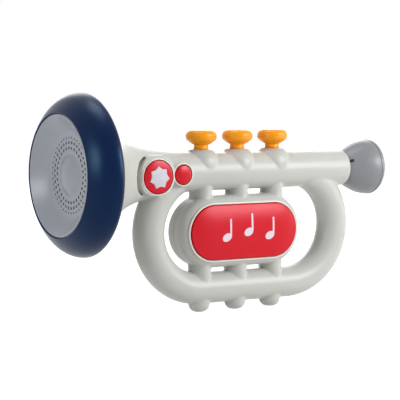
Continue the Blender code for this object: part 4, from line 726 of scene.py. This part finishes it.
def valve_cap(count, x):
    """An orange cap: flat-topped mushroom head, faint waist line, and the stem with its ring."""
    flat = 0.0066
    edge_z = CAP_EDGE_Z + 0.0002
    over = [(CAP_TOP_Z, 0), (CAP_TOP_Z, flat)]
    for step in range(1, 13):
        turn = math.radians(90 * step / 12)
        radius = flat + (CAP_RADIUS - flat) * math.sin(turn)
        over.append((edge_z + (CAP_TOP_Z - edge_z) * math.cos(turn) ** 0.9, radius))
    waist = [(CAP_EDGE_Z + 0.0001, CAP_RADIUS - 0.0001), (CAP_EDGE_Z - 0.0001, CAP_RADIUS - 0.0001)]
    low_edge_z = CAP_EDGE_Z - 0.0002
    under = [(low_edge_z, CAP_RADIUS)]
    for step in range(1, 15):
        share = step / 14
        drop = (CAP_EDGE_Z - CAP_UNDERSIDE_Z) * share
        width = math.cos(share * math.pi / 2) ** 0.90
        under.append((low_edge_z - drop, STEM_RADIUS + (CAP_RADIUS - STEM_RADIUS) * width))
    ring_z = 0.01665
    ring = STEM_RADIUS + 0.0002
    stop_top_z = 0.0103
    stop_low_z = stop_top_z - 0.0014
    stop_radius = 0.0078
    pin_end_z = stop_low_z - 0.0050
    stem = [
        (ring_z + 0.00055, STEM_RADIUS),
        (ring_z + 0.00035, ring),
        (ring_z - 0.00035, ring),
        (ring_z - 0.00055, STEM_RADIUS),
        (stop_top_z, STEM_RADIUS),
        (stop_top_z, stop_radius),
        (stop_low_z, stop_radius),
        (stop_low_z, BUTTON_PIN_RADIUS),
        (pin_end_z, BUTTON_PIN_RADIUS),
        (pin_end_z, 0),
    ]
    return lathe(f"valve_cap_head_{count}", over + waist + under + stem, ALONG_Z, (x, 0, 0), 72)


def round_button(name, x, z, radius, pad_y, back):
    """A round button with a crowned face, closed by its own back outline."""
    edge_y = pad_y - BUTTON_PROUD
    face = radius - BUTTON_GROOVE[0]
    low = edge_y + BUTTON_GROOVE[1]
    swell = [(edge_y - BUTTON_CROWN * (1 - (step / 12) ** 2.4), face * step / 12) for step in range(12)]
    edge = [(edge_y + 0.0001, face - 0.0001), (edge_y + 0.0003, face), (low, face), (low, radius)]
    return lathe(name, swell + edge + back, ALONG_Y, (x, 0, z), 96)


def star_outline(extra):
    """The (x, z) outline of a seven-pointed star with round hollows between its points."""
    points = []
    steps = 14 * STAR_POINTS
    for step in range(steps):
        angle = math.tau * step / steps
        hollow = abs(math.sin(STAR_POINTS / 2 * angle)) ** 0.85
        radius = STAR_POINT_RADIUS - STAR_HOLLOW * hollow + extra
        turned = math.radians(STAR_TURN) + angle
        points.append(
            (STAR_MIDDLE[0] + radius * math.cos(turned), STAR_MIDDLE[1] + radius * math.sin(turned))
        )
    return points


def wings(x, z, reach, half_height, front_y, back_y):
    """The bar across the back of a button that stops it at the inside of the shell."""
    return block("wings", (x - reach, front_y, z - half_height), (x + reach, back_y, z + half_height))


def star_button():
    """The red star button and the white star let into its face."""
    face_y = STAR_PAD_Y - BUTTON_PROUD - BUTTON_CROWN
    skirt_y = -0.0150
    under_y = -0.0138
    back = [
        (skirt_y, STAR_RADIUS),
        (skirt_y, STAR_RADIUS - 0.0023),
        (under_y, STAR_RADIUS - 0.0023),
        (under_y, BUTTON_PIN_RADIUS),
        (BUTTON_PIN_END_Y, BUTTON_PIN_RADIUS),
        (BUTTON_PIN_END_Y, 0),
    ]
    cap = round_button("star_button_cap", STAR_X, STAR_Z, STAR_RADIUS, STAR_PAD_Y, back)
    join(cap, wings(STAR_X, STAR_Z, STAR_RADIUS + 0.0009, 0.0050, skirt_y + 0.0001, under_y))
    cut(cap, prism("pocket", star_outline(0.00012), face_y - WALL, face_y + 0.0012))
    star = prism("star_inlay_face", star_outline(0), face_y - 0.0001, face_y + 0.0009, 0.0002, 3, 1)
    return cap, star


def small_button():
    """The small red button beside the star button."""
    skirt_y = -0.0139
    under_y = -0.0092
    back = [
        (skirt_y, SMALL_RADIUS),
        (skirt_y, SMALL_RADIUS - 0.0014),
        (under_y, SMALL_RADIUS - 0.0014),
        (under_y, BUTTON_PIN_RADIUS),
        (BUTTON_PIN_END_Y, BUTTON_PIN_RADIUS),
        (BUTTON_PIN_END_Y, 0),
    ]
    cap = round_button("small_button_cap", SMALL_X, SMALL_Z, SMALL_RADIUS, SMALL_PAD_Y, back)
    return join(cap, wings(SMALL_X, SMALL_Z, SMALL_RADIUS + 0.0012, 0.0020, under_y - 0.0011, under_y))


def long_lathe(name, outline):
    """The (y, radius) outline carried round the housing's stadium: half turn, run, half turn, run."""
    shape = bmesh.new()
    right = Vector((HOUSING_X + HOUSING_HALF_STRAIGHT, 0, HOUSING_Z))
    left = Vector((HOUSING_X - HOUSING_HALF_STRAIGHT, 0, HOUSING_Z))
    verts = [shape.verts.new(right + Vector((0, y, radius))) for y, radius in outline]
    chain = verts + outline_edges(shape, verts, outline)
    for centre, run in ((right, left - right), (left, right - left)):
        chain = bmesh.ops.spin(
            shape,
            geom=chain,
            cent=centre,
            axis=(0, 1, 0),
            angle=math.pi,
            steps=32,
        )["geom_last"]
        made = bmesh.ops.extrude_edge_only(shape, edges=only(BMEdge, chain))["geom"]
        verts = only(BMVert, made)
        bmesh.ops.translate(shape, verts=verts, vec=run)
        chain = verts + edges_within(set(verts), made)
    return object_from(name, shape)


def music_plate():
    """The large red button: a shallow cup whose face swells towards its middle."""
    edge = 0.0005
    flange = PLATE_RADIUS + 0.0014
    inside = PLATE_RADIUS - 0.0015
    under_y = PLATE_FRONT_Y + 0.0024
    reach = PLATE_RADIUS - BUTTON_GROOVE[0]
    low = PLATE_FRONT_Y + BUTTON_GROOVE[1]
    face = []
    for step in range(13):
        share = step / 12
        face.append((PLATE_FRONT_Y - PLATE_SWELL * (1 - share**2), (reach - edge) * share))
    rounded = arc((PLATE_FRONT_Y + edge, reach - edge), edge, 180, 90, 6)[1:]
    cup = [
        (low, reach),
        (low, PLATE_RADIUS),
        (PLATE_BACK_Y - 0.0011, PLATE_RADIUS),
        (PLATE_BACK_Y - 0.0011, flange),
        (PLATE_BACK_Y, flange),
        (PLATE_BACK_Y, inside),
        (under_y, inside),
        (under_y, 0),
    ]
    plate = long_lathe("music_plate", face + rounded + cup)
    at = (HOUSING_X, 0, HOUSING_Z)
    return join(plate, rod("pin", under_y - 0.0014, PLATE_BACK_Y - 0.0013, 0.0022, at=at))


def note_marks():
    """Three plain notes, a head and a stem each, printed on the large button."""
    parts = []
    tilt = math.radians(NOTE_TILT)
    for x, z in NOTE_PLACES:
        outline = [
            (
                x + wide * math.cos(tilt) - high * math.sin(tilt),
                z + wide * math.sin(tilt) + high * math.cos(tilt),
            )
            for wide, high in oval((0, 0), NOTE_HEAD_HALF, 0, 360, 32)[:-1]
        ]
        mark = prism("head", outline, NOTE_FRONT_Y, NOTE_BACK_Y)
        stem = rounded_box((x + 0.0031, z + NOTE_STEM_HALF[1]), NOTE_STEM_HALF, 0.0006, 4)
        parts.append(join(mark, prism("stem", stem, NOTE_FRONT_Y, NOTE_BACK_Y)))
    return together("note_marks", parts)


def mouthpiece():
    """The grey mouthpiece: a cup that flares from the tube, with a rolled lip, a bowl and a slot."""
    spigot_x = 0.0830
    spigot_radius = TUBE_RADIUS - WALL - GAP
    blow_hole_radius = 0.0040
    insert_radius = 0.0065
    shoulder_x = CUP_LIP_X - 0.0012
    shoulder = CUP_RADIUS - 0.0003
    cup = []
    for step in range(25):
        share = step / 24
        rise = math.sin(share * math.pi / 2) ** 0.92
        radius = CUP_ROOT_RADIUS + (shoulder - CUP_ROOT_RADIUS) * rise
        cup.append((CUP_ROOT_X + (shoulder_x - CUP_ROOT_X) * share, radius))
    cup.append((shoulder_x + 0.0003, shoulder - 0.0002))
    lip = arc((CUP_LIP_X, CUP_RADIUS - CUP_LIP_ROUNDING), CUP_LIP_ROUNDING, 102, -90, 18)
    bowl_half = (0.0150, lip[-1][1] - blow_hole_radius)
    bowl = oval((CUP_LIP_X, blow_hole_radius), bowl_half, 90, 180, 16)[1:]
    seat_x = spigot_x + 0.0085 + 2 * GAP
    outline = [
        (spigot_x, spigot_radius),
        (CUP_ROOT_X, spigot_radius),
        *cup,
        *lip,
        *bowl,
        (seat_x, blow_hole_radius),
        (seat_x, insert_radius),
        (spigot_x, insert_radius),
    ]
    piece = lathe("mouthpiece_cup", outline, sides=128)
    slot = block("slot", (CUP_ROOT_X - GAP, -0.0012, 0.0050), (CUP_ROOT_X + 0.0028, 0.0012, CUP_RADIUS))
    slot.data.transform(Matrix.Rotation(math.radians(63), 4, "X"))
    return cut(piece, slot)


def cross_screw(name, at, head_y, length, head_height=0.0015):
    """A screw with a slightly domed head and a cross recess, driven from the back."""
    outline = [
        (head_y - length, 0),
        (head_y - length, SCREW_SHANK_RADIUS),
        (head_y - head_height, SCREW_SHANK_RADIUS),
        (head_y - head_height, SCREW_HEAD_RADIUS),
        (head_y - 0.0004, SCREW_HEAD_RADIUS),
        (head_y - 0.0001, SCREW_HEAD_RADIUS - 0.0003),
        (head_y, SCREW_HEAD_RADIUS - 0.0010),
        (head_y, 0),
    ]
    screw = lathe(name, outline, ALONG_Y, at, 40)
    depth = 0.0008
    for size in ((0.0015, 0.00035), (0.00035, 0.0015)):
        bar = block(
            "bar",
            (at[0] - size[0], head_y - depth, at[2] - size[1]),
            (at[0] + size[0], head_y + WALL, at[2] + size[1]),
        )
        cut(screw, bar)
    return screw


def battery_door():
    """The door in the back: a plain lid with a screw tab and three grip grooves."""
    inner = HOUSING_HALF_DEPTH - WALL
    door = prism("battery_lid", door_outline(0), inner, OUTSIDE_Y)
    join(door, prism("tab", tab_outline(0), inner, OUTSIDE_Y - 0.001))
    keep(door, housing(0))
    at = (DOOR_SCREW_X, 0, HOUSING_Z)
    cut(door, rod("hole", 0, OUTSIDE_Y, SCREW_SHANK_RADIUS + GAP, at=at))
    cut(door, rod("sink", HOUSING_HALF_DEPTH - 0.0013, OUTSIDE_Y, SCREW_SINK_RADIUS, at=at))
    for count in range(3):
        groove_x = HOUSING_X - DOOR_HALF[0] + 0.0040 + count * 0.0022
        groove = rounded_box((groove_x, HOUSING_Z), (0.0006, 0.0070), 0.0005, 4)
        cut(door, prism("groove", groove, HOUSING_HALF_DEPTH - 0.0005, OUTSIDE_Y))
    return door


def power_slider():
    """The small slider of the power switch with its ribbed knob."""
    inner = HOUSING_HALF_DEPTH - WALL
    plate_y = inner - GAP - 0.0012
    slider = block(
        "power_slider_knob",
        (POWER_X - 0.0055, plate_y, HOUSING_Z - 0.0034),
        (POWER_X + 0.0055, inner - GAP, HOUSING_Z + 0.0034),
    )
    knob = block(
        "knob",
        (POWER_X - 0.0020, plate_y + 0.0006, HOUSING_Z - 0.0025),
        (POWER_X + 0.0020, HOUSING_HALF_DEPTH + 0.0012, HOUSING_Z + 0.0025),
        0.0003,
    )
    join(slider, knob)
    for offset in (-0.0011, 0, 0.0011):
        low = (POWER_X + offset - 0.0002, HOUSING_HALF_DEPTH + 0.0007, HOUSING_Z - 0.0040)
        high = (POWER_X + offset + 0.0002, OUTSIDE_Y, HOUSING_Z + 0.0040)
        cut(slider, block("groove", low, high))
    return slider


def coil_spring(name, node, axis, turns, wire):
    """A wire spring wound along the axis, in the place of its CAD node."""
    along, across = axis
    low, high = (Vector(corner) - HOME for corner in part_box(node))
    length = (high - low).dot(along) - 2 * wire
    radius = (high - low).dot(across) / 2 - wire
    start = (low + high - along * length) / 2
    turned = Matrix((across, along, across.cross(along))).transposed().to_4x4()
    place = Matrix.Translation(start + across * radius) @ turned
    shape = bmesh.new()
    bmesh.ops.create_circle(shape, segments=8, radius=wire, matrix=place)
    bmesh.ops.spin(
        shape,
        geom=[*shape.verts, *shape.edges],
        cent=start,
        axis=along,
        dvec=along * length / (16 * turns),
        angle=math.tau * turns,
        steps=16 * turns,
    )
    bmesh.ops.holes_fill(shape, edges=shape.edges)
    return object_from(name, shape)


def return_springs(steel):
    """The springs under the valves and the buttons, each wound in the place of its CAD node."""
    for node, joint, axis, turns, wire, travel in RETURN_SPRINGS:
        spring = coil_spring(f"{node}_coil", node, axis, turns, wire)
        fitted(spring, steel, "trumpet", [node])
        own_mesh(spring)


class Value:
    """A number or vector in a material's nodes, which adds Math nodes as it is worked with."""

    def __init__(self, finish, socket):
        self.finish = finish
        self.socket = socket

    def math(self, operation, other, swapped=False):
        pair = [other, self] if swapped else [self, other]
        return self.finish.node("ShaderNodeMath", {"operation": operation}, dict(enumerate(pair)))

    def __add__(self, other):
        return self.math("ADD", other)

    def __radd__(self, other):
        return self.math("ADD", other, True)

    def __sub__(self, other):
        return self.math("SUBTRACT", other)

    def __rsub__(self, other):
        return self.math("SUBTRACT", other, True)

    def __mul__(self, other):
        return self.math("MULTIPLY", other)

    def __rmul__(self, other):
        return self.math("MULTIPLY", other, True)


class Finish:
    """A material under construction."""

    def __init__(self, name):
        self.material = bpy.data.materials.new(name)
        self.material.use_nodes = True
        self.nodes = self.material.node_tree.nodes
        self.links = self.material.node_tree.links
        self.shader = self.nodes["Principled BSDF"]
        self.place = self.node("ShaderNodeTexCoord", {}, {}, "Object")

    def node(self, kind, settings, inputs, output=0):
        """Adds a node, its settings first, then its sockets' values or links."""
        made = self.nodes.new(kind)
        for key, value in settings.items():
            setattr(made, key, value)
        for key, value in inputs.items():
            self.feed(made.inputs[key], value)
        return Value(self, made.outputs[output])

    def feed(self, socket, value):
        if isinstance(value, Value):
            self.links.new(value.socket, socket)
        else:
            socket.default_value = value

    def noise(self, scale, detail=2.0):
        """Noise whose cells are about 1 / scale metres across."""
        inputs = {"Vector": self.place, "Scale": scale, "Detail": detail}
        return self.node("ShaderNodeTexNoise", {}, inputs)

    def mix(self, factor, first, second):
        """A colour between two colours."""
        inputs = {"Factor": factor, 6: first, 7: second}
        return self.node("ShaderNodeMix", {"data_type": "RGBA"}, inputs, 2)

    def ramp(self, value, low, high):
        """The value taken from low..high to 0..1, with soft ends."""
        inputs = {"Value": value, "From Min": low, "From Max": high}
        return self.node("ShaderNodeMapRange", {"interpolation_type": "SMOOTHSTEP"}, inputs)

    def bump(self, height, distance, strength):
        """A normal from a height of 0 to 1 times the distance."""
        inputs = {"Height": height, "Distance": distance, "Strength": strength}
        return self.node("ShaderNodeBump", {}, inputs)

    def set(self, **values):
        """Feeds the shader's sockets, and gives the finished material."""
        for key, value in values.items():
            self.feed(self.shader.inputs[key.replace("_", " ")], value)
        return self.material


def tint(red, green, blue, by=1.0):
    """An sRGB colour of 0 to 255 as linear values, scaled by a factor."""
    linear = []
    for part in (red, green, blue):
        share = part / 255
        share = share / 12.92 if share <= 0.04045 else ((share + 0.055) / 1.055) ** 2.4
        linear.append(min(share * by, 1.0))
    return (*linear, 1.0)


def moulded(name, colour, roughness, grain=1.0, gloss=(1.0, 1.0, 1.0), ior=1.49, metallic=0.0):
    """Moulded plastic, or plain metal: faint flow clouds, a fine grain and a few rubbed patches."""
    finish = Finish(name)
    clouds = finish.noise(28, 3.0)
    flow = finish.noise(140, 2.0)
    fine = finish.noise(2600, 3.0)
    pores = finish.noise(5200, 1.0)
    rubbed = finish.ramp(finish.noise(40, 2.0), 0.30, 0.80)
    deep = finish.mix(clouds, tint(*colour, by=0.955), tint(*colour, by=1.03))
    shade = finish.mix(flow * 0.35, deep, tint(*colour, by=0.97))
    height = fine * 0.7 + pores * 0.3
    return finish.set(
        Base_Color=shade,
        Roughness=roughness + (clouds - 0.5) * 0.06 + (fine - 0.5) * 0.05 - rubbed * 0.03,
        Normal=finish.bump(height, 0.00003 * grain, 0.5),
        Specular_Tint=(*gloss, 1.0),
        IOR=ior,
        Metallic=metallic,
    )


def fill_stage():
    """The white floor, the white background and the soft lamps."""
    shape = bmesh.new()
    bmesh.ops.create_grid(shape, x_segments=1, y_segments=1, size=6)
    floor = object_from("floor", shape)
    finish = Finish("floor_white")
    rays = [finish.node("ShaderNodeLightPath", {}, {}, kind) for kind in SHOWING_RAYS]
    seen = rays[0] + rays[1] + rays[2]
    white = finish.node("ShaderNodeEmission", {}, {"Color": (1, 1, 1, 1), "Strength": FLOOR_GLOW})
    paint = finish.node("ShaderNodeBsdfDiffuse", {}, {"Color": (0.76, 0.76, 0.76, 1)})
    bright = finish.node("ShaderNodeMixShader", {}, {0: 0.6, 1: paint, 2: white})
    shown = finish.node("ShaderNodeMixShader", {}, {0: seen, 1: paint, 2: bright})
    finish.feed(finish.nodes["Material Output"].inputs["Surface"], shown)
    floor.data.materials.append(finish.material)
    world = bpy.data.worlds.new("studio")
    bpy.context.scene.world = world
    world.use_nodes = True
    nodes, links = world.node_tree.nodes, world.node_tree.links
    path = nodes.new("ShaderNodeLightPath")
    ambient = nodes["Background"]
    ambient.inputs["Color"].default_value = (0.96, 0.98, 1.0, 1)
    ambient.inputs["Strength"].default_value = AMBIENT
    backdrop = nodes.new("ShaderNodeBackground")
    backdrop.inputs["Color"].default_value = (1, 1, 1, 1)
    choose = nodes.new("ShaderNodeMixShader")
    seen = path.outputs[SHOWING_RAYS[0]]
    for kind in SHOWING_RAYS[1:]:
        added = nodes.new("ShaderNodeMath")
        links.new(seen, added.inputs[0])
        links.new(path.outputs[kind], added.inputs[1])
        seen = added.outputs[0]
    links.new(seen, choose.inputs[0])
    links.new(ambient.outputs[0], choose.inputs[1])
    links.new(backdrop.outputs[0], choose.inputs[2])
    links.new(choose.outputs[0], nodes["World Output"].inputs["Surface"])
    for name, place, aim, size, power in LAMPS:
        lamp(name, place, aim, size, power)


def lamp(name, place, aim, size, power):
    """A square soft lamp at place that looks at aim."""
    data = bpy.data.lights.new(name, "AREA")
    data.shape = "SQUARE"
    data.size = size
    data.energy = power
    obj = bpy.data.objects.new(name, data)
    bpy.context.scene.collection.objects.link(obj)
    obj.location = place
    obj.rotation_euler = (Vector(aim) - Vector(place)).to_track_quat("-Z", "Y").to_euler()


def set_camera():
    """The camera at the photograph's place and angle."""
    right = Vector(CAMERA_RIGHT)
    up = Vector(CAMERA_UP)
    turned = Matrix((right, up, right.cross(up))).transposed().to_4x4()
    data = bpy.data.cameras.new("camera")
    data.sensor_width = SENSOR_WIDTH
    data.lens = FOCAL_PIXELS * SENSOR_WIDTH / PHOTO_WIDTH
    data.clip_start = 0.1
    data.clip_end = 20
    camera = bpy.data.objects.new("camera", data)
    bpy.context.scene.collection.objects.link(camera)
    camera.matrix_world = Matrix.Translation(Vector(CAMERA_PLACE) + HOME) @ turned
    bpy.context.scene.camera = camera


def fitted(obj, material, body, nodes, sharp=35):
    """Puts a finished piece in the frame's place, with its finish, body, slot and CAD nodes."""
    obj.data.transform(Matrix.Translation(HOME))
    obj.data.materials.clear()
    obj.data.materials.append(material)
    for face in obj.data.polygons:
        face.material_index = 0
    obj.data.shade_smooth()
    obj.data.set_sharp_from_angle(angle=math.radians(sharp))
    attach(obj, body)
    if nodes:
        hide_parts(*nodes)
    return obj


def paint_collar_highlights(front, material):
    """Gives the collars and the bead round the three red buttons a paler finish, a painted highlight
    that stands in for the light caught on their rounded tops.
    """
    front.data.materials.append(material)
    width = 2 * COLLAR_WIDTH
    seats = (
        (STAR_X, STAR_Z, 0, STAR_RADIUS + width, STAR_PAD_Y),
        (SMALL_X, SMALL_Z, 0, SMALL_RADIUS + width, SMALL_PAD_Y),
        (HOUSING_X, HOUSING_Z, HOUSING_HALF_STRAIGHT, HOUSING_HALF_HEIGHT, -HOUSING_HALF_DEPTH),
    )
    for face in front.data.polygons:
        centre = face.center - HOME
        for x, z, half_straight, reach, front_y in seats:
            away = max(0, abs(centre.x - x) - half_straight)
            if centre.y < front_y - 0.00009 and math.hypot(away, centre.z - z) < reach:
                # these faces take the paler finish of the painted highlight
                face.material_index = 1


def paint_node(name, material):
    """Gives a CAD node that stays in view its finish."""
    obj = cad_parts[name]
    for place in obj.material_slots:
        place.material = material


def build():
    """Every piece with its finish, its body and the CAD nodes that it stands for."""
    body = moulded("body_plastic", (199, 200, 194), 0.35, ior=1.43)
    # Painted highlight: a paler finish for the collars and the bead, standing in for the light their
    # rounded tops catch
    collar_highlight_finish = moulded("collar_painted_highlight", (238, 232, 222), 0.38)
    blue = moulded("rim_plastic", (0, 14, 58), 0.33, gloss=(0.33, 0.68, 1.0), ior=1.36)
    grille_grey = moulded("grille_plastic", (161, 166, 174), 0.32)
    cup_grey = moulded("mouthpiece_plastic", (136, 138, 142), 0.36)
    orange = moulded("cap_plastic", (255, 160, 6), 0.34, 0.3, gloss=(1.0, 0.86, 0.6))
    red = moulded("button_plastic", (211, 2, 24), 0.26, gloss=(0.9, 0.5, 0.58))
    white = moulded("star_plastic", (210, 208, 216), 0.38)
    ink = moulded("note_ink", (232, 218, 228), 0.42, 0.5)
    black = moulded("black_plastic", (34, 34, 36), 0.45)
    steel = moulded("steel", (168, 168, 170), 0.30, metallic=1.0)

    front, rear = body_shells()
    fitted(front, body, "trumpet", ["front_body_shell"])
    paint_collar_highlights(front, collar_highlight_finish)
    fitted(rear, body, "trumpet", ["rear_body_shell"])
    fitted(battery_door(), body, "trumpet", ["battery_door"])
    fitted(bell_rim(), blue, "trumpet", ["bell_rim"])
    fitted(speaker_grille(), grille_grey, "trumpet", ["speaker_grille"])
    for count, x in enumerate(VALVE_XS, 1):
        fitted(valve_cap(count, x), orange, f"valve_{count}", [f"valve_cap_{count}"], 50)
    cap, star = star_button()
    fitted(cap, red, "star_key", ["star_button"])
    fitted(star, white, "star_key", ["star_inlay"])
    fitted(small_button(), red, "small_key", ["small_button"])
    plate = music_plate()
    marks = keep_on_face(note_marks(), plate)
    fitted(plate, red, "music_key", ["music_button"])
    fitted(marks, ink, "music_key", [])
    fitted(mouthpiece(), cup_grey, "trumpet", ["mouthpiece"])
    fitted(power_slider(), black, "power_key", ["power_slider"])
    for count, (x, z) in enumerate(SCREW_PLACES, 1):
        screw = cross_screw(f"cross_screw_{count}", (x, 0, z), SCREW_HEAD_Y, SCREW_LENGTH)
        fitted(screw, steel, "trumpet", [f"body_screw_{count}"])
    at = (DOOR_SCREW_X, 0, HOUSING_Z)
    screw = cross_screw("door_cross_screw", at, HOUSING_HALF_DEPTH, SCREW_LENGTH - 0.0010, 0.0010)
    fitted(screw, steel, "trumpet", ["battery_door_screw"])
    return_springs(steel)
    finish_inner_nodes(black, steel, red)


def keep_on_face(marks, plate):
    """The printed marks as a thin layer on the plate's swollen face."""
    raised = twin(plate, "raised")
    raised.data.transform(Matrix.Translation((0, -PRINT_THICKNESS, 0)))
    keep(marks, raised)
    cut(marks, twin(plate, "under"))
    return marks


def finish_inner_nodes(black, steel, red):
    """Finishes for the CAD nodes inside the body, which stay as they are."""
    board = moulded("circuit_board", (22, 96, 52), 0.40)
    paper = moulded("speaker_paper", (38, 36, 34), 0.85, 3.0)
    magnet = moulded("magnet_ferrite", (52, 52, 56), 0.50, 2.0)
    cell = moulded("cell_wrap", (58, 60, 64), 0.35)
    metal = ("spring", "contact", "speaker_frame", "speaker_screw")
    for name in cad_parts:
        if any(word in name for word in metal):
            paint_node(name, steel)
        elif "board" in name:
            paint_node(name, board)
        elif "switch" in name or name in ("battery_tray", "whistle_insert", "speaker_wire_black"):
            paint_node(name, black)
        elif name.startswith("battery_cell"):
            paint_node(name, cell)
    paint_node("speaker_cone", paper)
    paint_node("speaker_magnet", magnet)
    paint_node("speaker_wire_red", red)


bpy.context.scene.view_settings.view_transform = "Standard"
set_camera()
fill_stage()
build()
